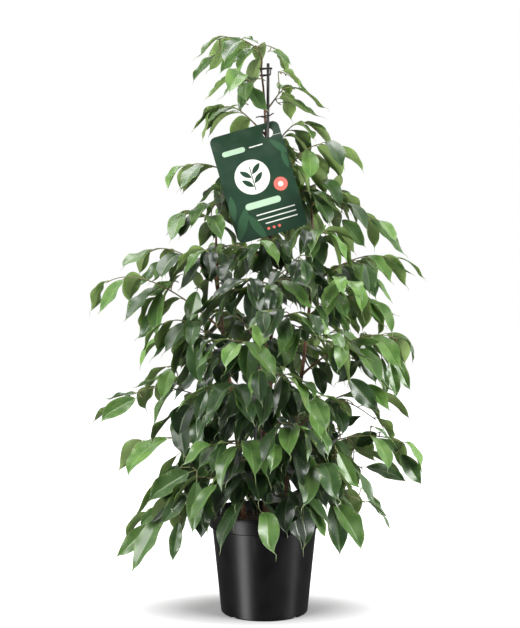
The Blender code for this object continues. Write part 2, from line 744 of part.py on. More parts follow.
def leaf_plan(name, part_index, part, order, attempt):
    """One leaf: the curve of its middle line, the way across it, its length and its width."""
    draw = random.Random(f"{name} {part_index} {order} {attempt}")
    last = order == part["count"] - 1
    share = LEAF_FIRST + (LEAF_LAST - LEAF_FIRST) * order / (part["count"] - 1)
    root, along = along_path(part["points"], share)
    outward = (flat(root).normalized() + flat(along).normalized()).normalized()

    # Leaves turn to either side of the twig in turn, and the last one either way
    side = 1.0 if (order + part_index) % 2 else -1.0
    turn = draw.uniform(*LEAF_TURN) if not last else draw.uniform(-LEAF_TURN[0], LEAF_TURN[1])
    heading = Matrix.Rotation(side * turn, 3, "Z") @ outward
    spread = LEAF_SPREAD * (1.0 + attempt * RETRY_SPREAD)
    shake = Vector([draw.gauss(0.0, spread) for _ in range(3)])
    sway = Vector([draw.gauss(0.0, spread) for _ in range(3)])
    with_twig, out, up = LEAF_START
    start = (along * with_twig + heading * out + UP * up + shake).normalized()
    hang = (heading * draw.uniform(*LEAF_LEAN) - UP + sway).normalized()

    rise = min(max((root.z - SOIL_LEVEL) / CROWN_HEIGHT, 0.0), 1.0)
    length = LEAF_LENGTH_LOW + (LEAF_LENGTH_TOP - LEAF_LENGTH_LOW) * rise
    length *= draw.uniform(*LEAF_SCALE) * (LAST_LEAF_SCALE if last else 1.0)
    arch = draw.uniform(*LEAF_ARCH)
    middle = root + start * length * arch
    tip = middle + hang * length * (LEAF_SLACK - arch)
    across = (tip - root).cross(heading + UP * LEAF_FACE_UP + shake).normalized()
    width = length * LEAF_ASPECT * draw.uniform(*WIDTH_SCALE)
    return dict(curve=(root, middle, tip), across=across, length=length, width=width)


def blade_width(share):
    """The blade's width along it, from 0 to 1: egg shaped, with a drawn-out drip tip."""
    bulge = share ** BLADE_SKEW
    return (4.0 * bulge * (1.0 - bulge)) ** (BLADE_FULLNESS + BLADE_DRIP * share * share)


def leaf_point(leaf, share):
    root, middle, tip = leaf["curve"]
    rest = 1.0 - share
    point = root * rest * rest + middle * 2 * rest * share + tip * share * share
    along = ((middle - root) * rest + (tip - middle) * share).normalized()
    return point, along


def leaf_shape(leaf, grow=0.0, blade_only=False):
    """A leaf as a closed thin plate; both faces are split into triangles alike."""
    stations = [(0.0, STALK_ROOT_WIDTH)]
    for share in LEAF_STATIONS:
        place = STALK_SHARE + (1.0 - STALK_SHARE) * share
        stations.append((place, max(leaf["width"] * blade_width(share), STALK_WIDTH)))
    if blade_only:
        stations = stations[1:]
    half_thick = LEAF_THICKNESS / 2 + grow
    vertices = []
    for place, width in stations:
        point, along = leaf_point(leaf, place)
        if place <= STALK_SHARE:
            along = (leaf_point(leaf, STALK_SHARE)[0] - leaf["curve"][0]).normalized()
        across = leaf["across"]
        across = (across - along * across.dot(along)).normalized()
        above = across.cross(along)
        half = width / 2 + grow
        for x, z in ((1, 1), (-1, 1), (-1, -1), (1, -1)):
            vertices.append(point + across * x * half + above * z * half_thick)
    vertices.append(leaf_point(leaf, 1.0)[0] + leaf_point(leaf, 1.0)[1] * grow)
    faces = [(0, 1, 2, 3)]
    for ring in range(len(stations) - 1):
        a = ring * 4
        b = a + 4
        if ring == 0 and not blade_only:
            faces += [(a + i, b + i, b + (i + 1) % 4, a + (i + 1) % 4) for i in range(4)]
            continue
        faces += [(a, b, b + 1), (a, b + 1, a + 1)]
        faces += [(a + 3, b + 2, b + 3), (a + 3, a + 2, b + 2)]
        faces += [(a + 1, b + 1, b + 2), (a + 1, b + 2, a + 2)]
        faces += [(a + 3, b + 3, b), (a + 3, b, a)]
    last = (len(stations) - 1) * 4
    point = len(vertices) - 1
    faces += [(last + i, point, last + (i + 1) % 4) for i in range(4)]
    return vertices, faces


# What is already placed, for keeping leaves clear of it

def solid_entry(vertices, faces, owner):
    low = Vector([min(v[i] for v in vertices) for i in range(3)])
    high = Vector([max(v[i] for v in vertices) for i in range(3)])
    return low, high, BVHTree.FromPolygons([tuple(v) for v in vertices], faces), owner


def object_entry(obj):
    vertices = [obj.matrix_world @ v.co for v in obj.data.vertices]
    faces = [tuple(p.vertices) for p in obj.data.polygons]
    return solid_entry(vertices, faces, obj.name)


def touches(entry, placed, skip=None):
    low, high, tree, _ = entry
    for other_low, other_high, other_tree, owner in placed:
        if owner == skip:
            continue
        if any(low[i] > other_high[i] or high[i] < other_low[i] for i in range(3)):
            continue
        if tree.overlap(other_tree):
            return True
    return False


def place_leaf(name, part_index, part, order, placed):
    """The first draw of a leaf that crosses nothing and leaves the card's face in view."""
    twig = "twig_" + name
    for attempt in range(LEAF_TRIES):
        leaf = leaf_plan(name, part_index, part, order, attempt)
        vertices, faces = leaf_shape(leaf, LEAF_CLEARANCE)
        if any(hides_tag(vertex) for vertex in vertices):
            continue
        if touches(solid_entry(vertices, faces, name), placed, skip=twig):
            continue
        blade = leaf_shape(leaf, LEAF_CLEARANCE, blade_only=True)
        own = [entry for entry in placed if entry[3] == twig]
        if touches(solid_entry(*blade, name), own):
            continue
        return leaf
    return None


def fuse(name, bodies, finish):
    """Closed shapes joined into one body."""
    objects = [link(f"{name}_{i}", mesh_from(*shape, name)) for i, shape in enumerate(bodies)]
    base = objects[0]
    if len(objects) > 1:
        combine(base, objects[1:], "UNION", "MANIFOLD")
    base.name = name
    base.data.name = name
    base.data.materials.clear()
    base.data.materials.append(material(finish))
    smooth(base)
    return base


def tone(name):
    if name in YOUNG:
        return "young"
    return "deep" if name in DEEP else "mid"


def build():
    clear_scene()
    stem_paths = {name: smooth_path(stem["points"], 2) for name, stem in STEMS.items()}
    cane_path = smooth_path(CANE_POINTS, 1)
    curves = {name: spray_curve(name, stem_paths) for name in SPRAYS}

    fixed = [make_pot(), make_soil(stem_paths, cane_path), make_cane(cane_path), make_tag()]
    fixed += make_ties(stem_paths["main"], cane_path)
    fixed += [make_stem(name, path, curves) for name, path in stem_paths.items()]
    placed = [object_entry(obj) for obj in fixed]

    twigs = {}
    for name in SPRAYS:
        parts = twig_parts(name, curves[name])
        shapes = [twig_shape(part) for part in parts]
        twigs[name] = (parts, shapes)
        placed += [solid_entry(*shape, "twig_" + name) for shape in shapes]

    for name, (parts, shapes) in twigs.items():
        bodies = list(shapes)
        for part_index, part in enumerate(parts):
            for order in range(part["count"]):
                leaf = place_leaf(name, part_index, part, order, placed)
                if leaf:
                    placed.append(solid_entry(*leaf_shape(leaf), name))
                    bodies.append(leaf_shape(leaf))
        fuse("spray_" + name, bodies, tone(name))


build()
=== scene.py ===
import math
import random

import bmesh
import bpy
import numpy as np
from mathutils import Matrix, Vector, noise
from mathutils.bvhtree import BVHTree
from mathutils.kdtree import KDTree


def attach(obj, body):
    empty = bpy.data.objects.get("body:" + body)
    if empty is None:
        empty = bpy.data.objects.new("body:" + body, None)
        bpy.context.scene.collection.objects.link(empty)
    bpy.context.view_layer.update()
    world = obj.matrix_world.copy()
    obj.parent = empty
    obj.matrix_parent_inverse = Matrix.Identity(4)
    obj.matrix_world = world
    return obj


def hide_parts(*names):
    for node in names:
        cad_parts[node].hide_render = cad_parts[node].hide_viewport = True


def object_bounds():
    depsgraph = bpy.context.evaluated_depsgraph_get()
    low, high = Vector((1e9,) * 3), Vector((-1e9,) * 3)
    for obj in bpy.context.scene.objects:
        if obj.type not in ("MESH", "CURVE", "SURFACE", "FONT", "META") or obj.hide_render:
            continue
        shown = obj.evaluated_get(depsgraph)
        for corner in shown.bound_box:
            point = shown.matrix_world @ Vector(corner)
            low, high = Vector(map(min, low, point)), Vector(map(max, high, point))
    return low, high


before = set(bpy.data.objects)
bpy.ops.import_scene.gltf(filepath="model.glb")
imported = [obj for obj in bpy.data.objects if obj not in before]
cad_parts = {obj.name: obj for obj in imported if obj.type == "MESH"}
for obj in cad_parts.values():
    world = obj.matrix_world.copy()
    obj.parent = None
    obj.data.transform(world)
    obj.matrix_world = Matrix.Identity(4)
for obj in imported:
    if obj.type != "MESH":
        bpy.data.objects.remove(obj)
cadLow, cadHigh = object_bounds()
print("frame loaded:", len(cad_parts), "nodes")

up = Vector((0.0, 0.0, 1.0))
white = (1.0, 1.0, 1.0)
gap = 0.0003  # clearance that the solids keep


# Helpers for objects and shaders

def addObject(name, data):
    thing = bpy.data.objects.new(name, data)
    bpy.context.scene.collection.objects.link(thing)
    return thing


def addNode(tree, kind, **settings):
    node = tree.nodes.new("ShaderNode" + kind)
    for name, value in settings.items():
        setattr(node, name, value)
    return node


def feed(tree, source, socket):
    if isinstance(source, bpy.types.NodeSocket):
        tree.links.new(source, socket)
    else:
        socket.default_value = (*source, 1.0) if socket.type == "RGBA" else source


def mathOf(tree, operation, *sources, clamp=False):
    node = addNode(tree, "Math", operation=operation, use_clamp=clamp)
    for index, source in enumerate(sources):
        feed(tree, source, node.inputs[index])
    return node.outputs[0]


def times(tree, first, second, clamp=False):
    return mathOf(tree, "MULTIPLY", first, second, clamp=clamp)


def plus(tree, first, second, clamp=False):
    return mathOf(tree, "ADD", first, second, clamp=clamp)


def minus(tree, first, second):
    return mathOf(tree, "SUBTRACT", first, second)


def mixOf(tree, share, first, second, blend="MIX"):
    node = addNode(tree, "Mix", data_type="RGBA", blend_type=blend)
    feed(tree, share, node.inputs[0])
    feed(tree, first, node.inputs[6])
    feed(tree, second, node.inputs[7])
    return node.outputs[2]


def rangeOf(tree, value, start, end, low=0.0, high=1.0, smooth=True):
    node = addNode(tree, "MapRange", interpolation_type="SMOOTHSTEP" if smooth else "LINEAR")
    feed(tree, value, node.inputs["Value"])
    for label, number in (("From Min", start), ("From Max", end), ("To Min", low), ("To Max", high)):
        node.inputs[label].default_value = number
    return node.outputs[0]


def attributeOf(tree, name):
    return addNode(tree, "Attribute", attribute_name=name).outputs["Fac"]


def noiseOf(tree, scale, detail=2.0, stretch=None):
    place = addNode(tree, "TexCoord").outputs["Object"]
    if stretch:
        mapping = addNode(tree, "Mapping")
        feed(tree, place, mapping.inputs["Vector"])
        mapping.inputs["Scale"].default_value = stretch
        place = mapping.outputs[0]
    node = addNode(tree, "TexNoise")
    feed(tree, place, node.inputs["Vector"])
    feed(tree, scale, node.inputs["Scale"])
    node.inputs["Detail"].default_value = detail
    return node.outputs["Fac"]


# Feeds a material's colour, roughness and fine relief
def dress(tree, shader, colour, roughness, height, strength, distance):
    feed(tree, colour, shader["Base Color"])
    feed(tree, roughness, shader["Roughness"])
    bump = addNode(tree, "Bump")
    feed(tree, height, bump.inputs["Height"])
    feed(tree, strength, bump.inputs["Strength"])
    feed(tree, distance, bump.inputs["Distance"])
    feed(tree, bump.outputs[0], shader["Normal"])


def newGroup(name, inputs, outputs):
    group = bpy.data.node_groups.new(name, "ShaderNodeTree")
    for label, value in inputs.items():
        kind = "NodeSocketColor" if isinstance(value, tuple) else "NodeSocketFloat"
        socket = group.interface.new_socket(name=label, in_out="INPUT", socket_type=kind)
        socket.default_value = (*value, 1.0) if isinstance(value, tuple) else value
    for label, kind in outputs.items():
        group.interface.new_socket(name=label, in_out="OUTPUT", socket_type="NodeSocket" + kind)
    return group, group.nodes.new("NodeGroupInput").outputs, group.nodes.new("NodeGroupOutput").inputs


def placeGroup(tree, name, **values):
    node = tree.nodes.new("ShaderNodeGroup")
    node.node_tree = bpy.data.node_groups[name]
    for label, value in values.items():
        feed(tree, value, node.inputs[label[0].upper() + label[1:]])
    return node.outputs


socketNames = dict(
    specular="Specular IOR Level",
    roughness="Roughness",
    coatRoughness="Coat Roughness",
    glow="Subsurface Weight",
    glowReach="Subsurface Radius",
    glowScale="Subsurface Scale",
)


def newMaterial(name, **constants):
    material = bpy.data.materials.new(name)
    material.use_nodes = True
    shader = material.node_tree.nodes["Principled BSDF"]
    for label, value in constants.items():
        shader.inputs[socketNames[label]].default_value = value
    return material, material.node_tree, shader.inputs


# Camera, light and floor

cameraSetup = dict(
    place=(-0.008, -2.0, 0.54),
    lens=62.8,
    sensor=36.0,
    nearest=0.05,
    frame=(520, 628),  # pixels of the picture, across and down
)

# Each: place, what it points at, width and height, power, and whether matt surfaces catch it
softboxes = dict(
    key=dict(place=(-1.35, -1.15, 0.85), aim=(0.0, 0.0, 0.45), size=(1.0, 1.4), power=41.0,
        matt=True),
    fill=dict(place=(1.50, -0.95, 0.60), aim=(0.0, 0.0, 0.42), size=(0.8, 1.2), power=46.0,
        matt=True),
    overhead=dict(place=(-0.2, 0.1, 2.4), aim=(0.0, 0.0, 0.6), size=(1.4, 1.2), power=31.0,
        matt=True),
    potStripLeft=dict(place=(-0.95, -0.80, -0.42), aim=(0.0, 0.0, 0.09), size=(0.42, 0.90), power=7.8,
        matt=False),
    potStripRight=dict(place=(1.15, -0.32, -0.42), aim=(0.0, 0.0, 0.09), size=(0.16, 0.90), power=1.3,
        matt=False),
)

# Brightness of the room by direction, where a span is of the direction's own y or z
room = dict(
    front=0.10,
    back=0.95,
    depthSpan=(-0.45, 0.60),  # from the front's brightness to the back's
    low=0.60,  # share of it that comes from below
    lowSpan=(-0.45, 0.35),
    bounce=0.34,  # what the pale floor sends up to matt surfaces
    bounceSpan=(0.05, -0.60),
    glossLow=0.10,  # share of the low part that glossy surfaces mirror
    glossSpan=(-0.30, 0.0),
)

# The floor's emission paints a contact shadow round the pot's foot, on top of the lamps' real shadow: an oval
# wider across than deep, set a little to the left, glowing full white far off
floorSetup = dict(
    size=12.0,
    colour=(0.52, 0.52, 0.52),
    glow=(0.04, 1.0),  # emission near the foot, low for a painted shadow, and far from it
    fade=(0.08, 0.37),
    shadowOval=(1.0, 2.1, 1.0),
    shift=(0.022, -0.010, 0.0),
)


def makeCamera():
    data = bpy.data.cameras.new("camera")
    data.lens = cameraSetup["lens"]
    data.clip_start = cameraSetup["nearest"]
    camera = addObject("camera", data)
    camera.location = cameraSetup["place"]
    camera.rotation_euler = (math.radians(90.0), 0.0, 0.0)
    bpy.context.scene.camera = camera


def makeSoftbox(name, setup):
    data = bpy.data.lights.new(name, "AREA")
    data.shape = "RECTANGLE"
    data.size, data.size_y = setup["size"]
    data.energy = setup["power"]
    light = addObject(name, data)
    light.location = setup["place"]
    way = Vector(setup["aim"]) - Vector(setup["place"])
    light.rotation_euler = way.to_track_quat("-Z", "Y").to_euler()
    light.visible_camera = False
    light.visible_diffuse = setup["matt"]


def makeRoom():
    world = bpy.data.worlds.new("room")
    bpy.context.scene.world = world
    world.use_nodes = True
    tree = world.node_tree
    way = addNode(tree, "SeparateXYZ")
    feed(tree, addNode(tree, "TexCoord").outputs["Generated"], way.inputs[0])
    depth, height = way.outputs[1], way.outputs[2]
    rays = addNode(tree, "LightPath").outputs
    walls = rangeOf(tree, depth, *room["depthSpan"], room["front"], room["back"])
    walls = times(tree, walls, rangeOf(tree, height, *room["lowSpan"], room["low"], 1.0))
    bounce = rangeOf(tree, height, *room["bounceSpan"], 0.0, room["bounce"])
    glossShare = rangeOf(tree, height, *room["glossSpan"], room["glossLow"], 1.0)
    mirrored = times(tree, times(tree, walls, glossShare), rays["Is Glossy Ray"])
    matt = times(tree, plus(tree, walls, bounce), minus(tree, 1.0, rays["Is Glossy Ray"]))
    shown = mathOf(tree, "MAXIMUM", plus(tree, mirrored, matt), rays["Is Camera Ray"])
    feed(tree, shown, tree.nodes["Background"].inputs["Strength"])
    feed(tree, white, tree.nodes["Background"].inputs["Color"])


def makeFloor():
    half = floorSetup["size"] / 2
    mesh = bpy.data.meshes.new("floor")
    corners = [(-half, -half, 0), (half, -half, 0), (half, half, 0), (-half, half, 0)]
    mesh.from_pydata(corners, [], [(0, 1, 2, 3)])
    floor = addObject("floor", mesh)
    material, tree, shader = newMaterial("floorPaintedShadow", specular=0.0, roughness=0.8)
    feed(tree, floorSetup["colour"], shader["Base Color"])
    feed(tree, white, shader["Emission Color"])
    # Painted shadow: the emission rises with the oval distance from the foot
    shadowOval = addNode(tree, "VectorMath", operation="MULTIPLY_ADD")
    feed(tree, addNode(tree, "TexCoord").outputs["Object"], shadowOval.inputs[0])
    shadowOval.inputs[1].default_value = floorSetup["shadowOval"]
    shadowOval.inputs[2].default_value = floorSetup["shift"]
    away = addNode(tree, "VectorMath", operation="LENGTH")
    feed(tree, shadowOval.outputs[0], away.inputs[0])
    glow = rangeOf(tree, away.outputs["Value"], *floorSetup["fade"], *floorSetup["glow"])
    feed(tree, glow, shader["Emission Strength"])
    mesh.materials.append(material)
    floor.visible_glossy = False
    floor.visible_diffuse = False
    floor.visible_shadow = False  # so the low strips reach the pot


bpy.context.scene.view_settings.view_transform = "Standard"
makeCamera()
for boxName, boxSetup in softboxes.items():
    makeSoftbox(boxName, boxSetup)
makeRoom()
makeFloor()
print("camera, light and floor done")


# Shared effects: dust that lies on what faces up, fine grain and a mottled tint

dustSetup = dict(
    facing=(-0.2, 1.0),  # the surface's rise, from the least dust to the most
    least=0.25,
    scale=38.0,
    patches=(0.35, 0.75),
    roughen=0.6,
)
blotchSpan = (0.32, 0.70)  # of the noise that makes the mottled tint


def makeDustGroup():
    group, given, made = newGroup(
        "dustFilm",
        {"Base": (0.5, 0.5, 0.5), "Dust": (0.4, 0.37, 0.33), "Amount": 0.2, "Roughness": 0.4},
        {"Colour": "Color", "Roughness": "Float"},
    )
    facing = addNode(group, "SeparateXYZ")
    feed(group, addNode(group, "NewGeometry").outputs["Normal"], facing.inputs[0])
    upward = rangeOf(group, facing.outputs[2], *dustSetup["facing"], dustSetup["least"], 1.0)
    patches = rangeOf(group, noiseOf(group, dustSetup["scale"], detail=4.0), *dustSetup["patches"])
    film = times(group, times(group, upward, patches), given["Amount"], clamp=True)
    feed(group, mixOf(group, film, given["Base"], given["Dust"]), made["Colour"])
    roughness = plus(group, given["Roughness"], times(group, film, dustSetup["roughen"]), clamp=True)
    feed(group, roughness, made["Roughness"])


def makeGrainGroup():
    group, given, made = newGroup(
        "fineGrain",
        {"Coarse": 120.0, "Fine": 900.0, "Balance": 0.5},
        {"Value": "Float"},
    )
    coarse = noiseOf(group, given["Coarse"], detail=3.0)
    fine = noiseOf(group, given["Fine"], detail=2.0)
    blend = addNode(group, "Mix", data_type="FLOAT")
    feed(group, given["Balance"], blend.inputs[0])
    feed(group, coarse, blend.inputs[2])
    feed(group, fine, blend.inputs[3])
    feed(group, blend.outputs[0], made["Value"])


def makeMottleGroup():
    group, given, made = newGroup(
        "mottle",
        {"Base": (0.5, 0.5, 0.5), "Other": (0.4, 0.4, 0.4), "Scale": 50.0, "Amount": 0.5},
        {"Colour": "Color"},
    )
    blotch = rangeOf(group, noiseOf(group, given["Scale"], detail=4.0), *blotchSpan)
    mask = times(group, blotch, given["Amount"])
    feed(group, mixOf(group, mask, given["Base"], given["Other"]), made["Colour"])


makeDustGroup()
makeGrainGroup()
makeMottleGroup()


# Mesh helpers

def smoothBelow(mesh, degrees):
    mesh.shade_smooth()
    mesh.set_sharp_from_angle(angle=math.radians(degrees))


def meshOf(work, name):
    mesh = bpy.data.meshes.new(name)
    work.to_mesh(mesh)
    work.free()
    return mesh


class Build:  # what one piece is made of, body by body
    def __init__(self):
        self.points = []
        self.faces = []
        self.slots = []
        self.values = {}
        self.count = 0

    def add(self, points, faces, slot=0, **values):
        points = np.asarray(points, float)
        self.points.append(points)
        self.faces += [tuple(corner + self.count for corner in face) for face in faces]
        self.slots += [slot] * len(faces)
        for name in set(self.values) | set(values):
            held = self.values.setdefault(name, [np.zeros(self.count)] if self.count else [])
            value = values.get(name, 0.0)
            held.append(np.broadcast_to(np.asarray(value, float), (len(points),)))
        self.count += len(points)

    def finish(self, name, materials, sharp=50.0):
        mesh = bpy.data.meshes.new(name)
        mesh.from_pydata(np.concatenate(self.points).tolist(), [], self.faces)
        mesh.polygons.foreach_set("material_index", self.slots)
        for label, values in self.values.items():
            layer = mesh.attributes.new(label, "FLOAT", "POINT")
            layer.data.foreach_set("value", np.concatenate(values).astype(np.float32))
        for material in materials:
            mesh.materials.append(material)
        smoothBelow(mesh, sharp)
        mesh.update()
        return addObject(name, mesh)


def settle(piece, slotName, *nodes):
    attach(piece, "root")
    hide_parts(*nodes)


# The four-sided faces between rings of corners that follow each other
def ringFaces(rings, sides):
    faces = []
    for ring in range(rings - 1):
        for side in range(sides):
            a = ring * sides + side
            b = ring * sides + (side + 1) % sides
            faces.append((a, b, b + sides, a + sides))
    return faces


# A round tube with closed ends
def tube(points, radii, sides, pointed=False):
    last = len(points) - 1
    vertices = []
    across = None
    for index, point in enumerate(points):
        along = (points[min(index + 1, last)] - points[max(index - 1, 0)]).normalized()
        isLevel = abs(along.z) < 0.9
        seed = across or (along.cross(up) if isLevel else Vector((1, 0, 0)))
        across = (seed - along * seed.dot(along)).normalized()
        beside = along.cross(across)
        for side in range(sides):
            angle = 2 * math.pi * side / sides
            vertices.append(point + (across * math.cos(angle) + beside * math.sin(angle)) * radii[index])
    faces = ringFaces(len(points), sides)
    faces.append(tuple(reversed(range(sides))))
    if pointed:
        tip = points[-1] + (points[-1] - points[-2]).normalized() * radii[-1]
        vertices.append(tip)
        faces += [(last * sides + side, last * sides + (side + 1) % sides, len(vertices) - 1)
                  for side in range(sides)]
    else:
        faces.append(tuple(range(last * sides, (last + 1) * sides)))
    return [tuple(vertex) for vertex in vertices], faces


def smoothPath(points, steps):
    points = [Vector(p) for p in points]
    ends = [points[0] * 2 - points[1]] + points + [points[-1] * 2 - points[-2]]
    path = []
    for a, b, c, d in zip(ends, ends[1:], ends[2:], ends[3:]):
        for step in range(steps):
            t = step / steps
            path.append(0.5 * (2 * b + (c - a) * t + (2 * a - 5 * b + 4 * c - d) * t * t
                               + (3 * b - a - 3 * c + d) * t * t * t))
    path.append(points[-1])
    return path


def pointAtHeight(path, height):
    for low, high in zip(path, path[1:]):
        if low.z <= height <= high.z:
            return low.lerp(high, (height - low.z) / (high.z - low.z))
    return path[-1].copy()


# A leaf's own curve, of three points
def curveAt(curve, t):
    root, middle, tip = curve
    s = 1.0 - t
    return root * s * s + middle * 2 * s * t + tip * t * t


def cubic(controls, t):
    a, b, c, d = controls
    s = 1.0 - t
    return a * s ** 3 + b * 3 * s * s * t + c * 3 * s * t * t + d * t ** 3


def cubicWay(controls, t):
    a, b, c, d = controls
    s = 1.0 - t
    return ((b - a) * s * s + (c - b) * 2 * s * t + (d - c) * t * t).normalized()


def stretchOf(controls, start, end, count):
    return [cubic(controls, start + (end - start) * i / (count - 1)) for i in range(count)]


def flat(vector):
    return Vector((vector.x, vector.y, 0.0))


# How far a value is on its way from start to end
def shareOf(value, start, end):
    return min(max((value - start) / (end - start), 0.0), 1.0)


# An arc's points, in degrees from the first axis
def arcOf(centre, radius, start, end, steps):
    turns = [math.radians(start + (end - start) * i / steps) for i in range(steps + 1)]
    return [(centre[0] + radius * math.cos(turn), centre[1] + radius * math.sin(turn)) for turn in turns]


# Where the stems and sprays run: the same points and rule as the solids have

stems = {
    "main": dict(
        points=[
            (0.004, 0.012, 0.100), (0.006, 0.013, 0.250), (0.011, 0.012, 0.420),
            (0.0125, 0.013, 0.566), (0.010, 0.019, 0.720), (0.005, 0.023, 0.830),
            (0.0015, 0.0165, 0.895), (-0.001, 0.010, 0.945), (-0.0053, 0.0045, 0.983),
            (-0.0045, 0.0035, 1.001),
        ],
        radii=(0.0056, 0.0016),
    ),
    "left": dict(
        points=[
            (-0.035, -0.006, 0.100), (-0.041, -0.011, 0.220), (-0.055, -0.020, 0.360),
            (-0.074, -0.024, 0.500), (-0.086, -0.016, 0.620), (-0.088, -0.008, 0.690),
        ],
        radii=(0.0048, 0.0020),
    ),
    "right": dict(
        points=[
            (0.034, 0.000, 0.100), (0.040, -0.006, 0.220), (0.058, -0.018, 0.360),
            (0.078, -0.022, 0.520), (0.088, -0.014, 0.660), (0.086, -0.004, 0.730),
        ],
        radii=(0.0048, 0.0020),
    ),
    "back": dict(
        points=[
            (0.002, 0.040, 0.100), (0.000, 0.054, 0.240), (-0.008, 0.082, 0.420),
            (-0.004, 0.098, 0.600), (0.004, 0.096, 0.700),
        ],
        radii=(0.0046, 0.0020),
    ),
    "front": dict(
        points=[
            (0.006, -0.034, 0.100), (0.004, -0.046, 0.220), (0.000, -0.074, 0.360),
            (0.004, -0.096, 0.480), (0.006, -0.106, 0.560),
        ],
        radii=(0.0046, 0.0020),
    ),
}

# The height is where the branch leaves its stem, or None where the spray grows from the stem's end
sprayColumns = ("stem", "height", "tip", "count", "forkTip", "forkCount")
sprays = {
    "top_leader": ("main", None, (-0.080, -0.010, 1.040), 7, (0.015, 0.015, 1.030), 2),
    "top_left": ("main", 0.925, (-0.045, -0.020, 0.970), 5),
    "top_low_left": ("main", 0.870, (-0.075, 0.020, 0.920), 5),
    "top_right": ("main", 0.912, (0.050, 0.010, 0.955), 4, (0.028, 0.015, 0.985), 2),
    "top_low_right": ("main", 0.835, (0.075, 0.010, 0.890), 5),
    "upper_right": ("main", 0.770, (0.115, -0.015, 0.845), 6, (0.065, 0.000, 0.835), 3),
    "upper_right_low": ("main", 0.715, (0.120, 0.000, 0.775), 4, (0.080, -0.025, 0.760), 3),
    "upper_left": ("main", 0.745, (-0.145, 0.010, 0.810), 6),
    "upper_left_low": ("left", None, (-0.140, -0.005, 0.725), 4, (-0.080, -0.020, 0.755), 4),
    "upper_back": ("main", 0.790, (0.030, 0.105, 0.855), 5),
    "upper_back_left": ("main", 0.690, (-0.065, 0.125, 0.775), 6),
    "upper_back_right": ("back", None, (0.080, 0.150, 0.745), 6),
    "right_1": ("right", None, (0.200, -0.025, 0.710), 5, (0.140, 0.020, 0.765), 4),
    "right_2": ("right", 0.660, (0.105, -0.095, 0.680), 6),
    "right_3": ("right", 0.590, (0.230, 0.000, 0.640), 5, (0.170, 0.070, 0.600), 3),
    "right_4": ("right", 0.535, (0.195, 0.030, 0.560), 6),
    "right_5": ("right", 0.500, (0.145, -0.105, 0.590), 5),
    "right_6": ("right", 0.430, (0.240, 0.000, 0.495), 5, (0.165, -0.060, 0.455), 4),
    "right_7": ("right", 0.330, (0.190, -0.030, 0.395), 4, (0.205, 0.050, 0.345), 3),
    "right_8": ("right", 0.265, (0.250, 0.000, 0.305), 5, (0.170, 0.080, 0.255), 3),
    "right_9": ("right", 0.245, (0.135, -0.095, 0.285), 6),
    "right_10": ("right", 0.205, (0.180, 0.020, 0.195), 3, (0.125, -0.060, 0.180), 3),
    "left_1": ("left", 0.600, (-0.205, 0.000, 0.655), 5, (-0.150, 0.060, 0.615), 3),
    "left_2": ("left", 0.560, (-0.100, -0.085, 0.650), 6),
    "left_3": ("left", 0.510, (-0.285, 0.010, 0.600), 5, (-0.190, -0.020, 0.560), 3),
    "left_4": ("left", 0.475, (-0.170, -0.080, 0.525), 4, (-0.175, 0.060, 0.490), 3),
    "left_5": ("left", 0.430, (-0.120, -0.120, 0.500), 5),
    "left_6": ("left", 0.350, (-0.235, 0.015, 0.395), 4, (-0.170, -0.010, 0.445), 4),
    "left_7": ("left", 0.330, (-0.140, -0.085, 0.375), 6),
    "left_8": ("left", 0.255, (-0.220, 0.015, 0.305), 3, (-0.160, -0.050, 0.260), 4),
    "left_9": ("left", 0.205, (-0.195, -0.010, 0.175), 5, (-0.120, -0.100, 0.220), 3),
    "front_1": ("main", 0.640, (0.015, -0.065, 0.670), 5),
    "front_right": ("main", 0.560, (0.075, -0.085, 0.640), 5),
    "front_2": ("front", None, (0.060, -0.150, 0.620), 4, (-0.045, -0.145, 0.580), 4),
    "front_3": ("front", 0.480, (0.040, -0.195, 0.540), 4, (0.100, -0.165, 0.495), 3),
    "front_4": ("front", 0.440, (-0.040, -0.200, 0.490), 6),
    "front_5": ("front", 0.365, (-0.055, -0.205, 0.415), 4, (-0.100, -0.150, 0.350), 3),
    "front_6": ("front", 0.335, (0.030, -0.215, 0.435), 4, (0.080, -0.180, 0.395), 4),
    "front_7": ("front", 0.275, (-0.040, -0.200, 0.320), 5),
    "front_8": ("front", 0.250, (0.055, -0.195, 0.350), 4, (0.090, -0.150, 0.285), 3),
    "front_9": ("front", 0.215, (-0.075, -0.145, 0.255), 3, (-0.005, -0.155, 0.205), 3),
    "front_10": ("front", 0.200, (0.065, -0.145, 0.220), 5),
    "back_1": ("back", 0.640, (-0.085, 0.180, 0.670), 5),
    "back_2": ("back", 0.560, (0.085, 0.195, 0.620), 5),
    "back_3": ("back", 0.480, (-0.095, 0.200, 0.545), 6),
    "back_4": ("back", 0.420, (0.120, 0.190, 0.490), 4, (0.010, 0.235, 0.450), 3),
    "back_5": ("back", 0.340, (-0.120, 0.190, 0.420), 4, (-0.030, 0.215, 0.350), 3),
    "back_6": ("back", 0.280, (0.130, 0.185, 0.350), 4, (0.050, 0.220, 0.290), 3),
    "back_7": ("back", 0.215, (-0.115, 0.160, 0.265), 4, (0.075, 0.170, 0.210), 3),
}
sprays = {name: dict(zip(sprayColumns, row)) for name, row in sprays.items()}
youngSprays = ("top_leader", "top_left", "upper_right", "right_5", "left_4", "front_4", "front_7", "left_9")
deepSprays = ("right_6", "right_7", "left_5", "left_7", "front_2", "back_1", "back_3", "back_4", "back_5")

branching = dict(
    rise=0.9,
    droop=0.5,
    pull=(0.36, 0.30),
    woodyShare=0.30,
    branchRadius=0.0026,
    twigPoints=5,
    forkPoints=3,
    forkAt=0.30,
    forkFollow=0.6,
)

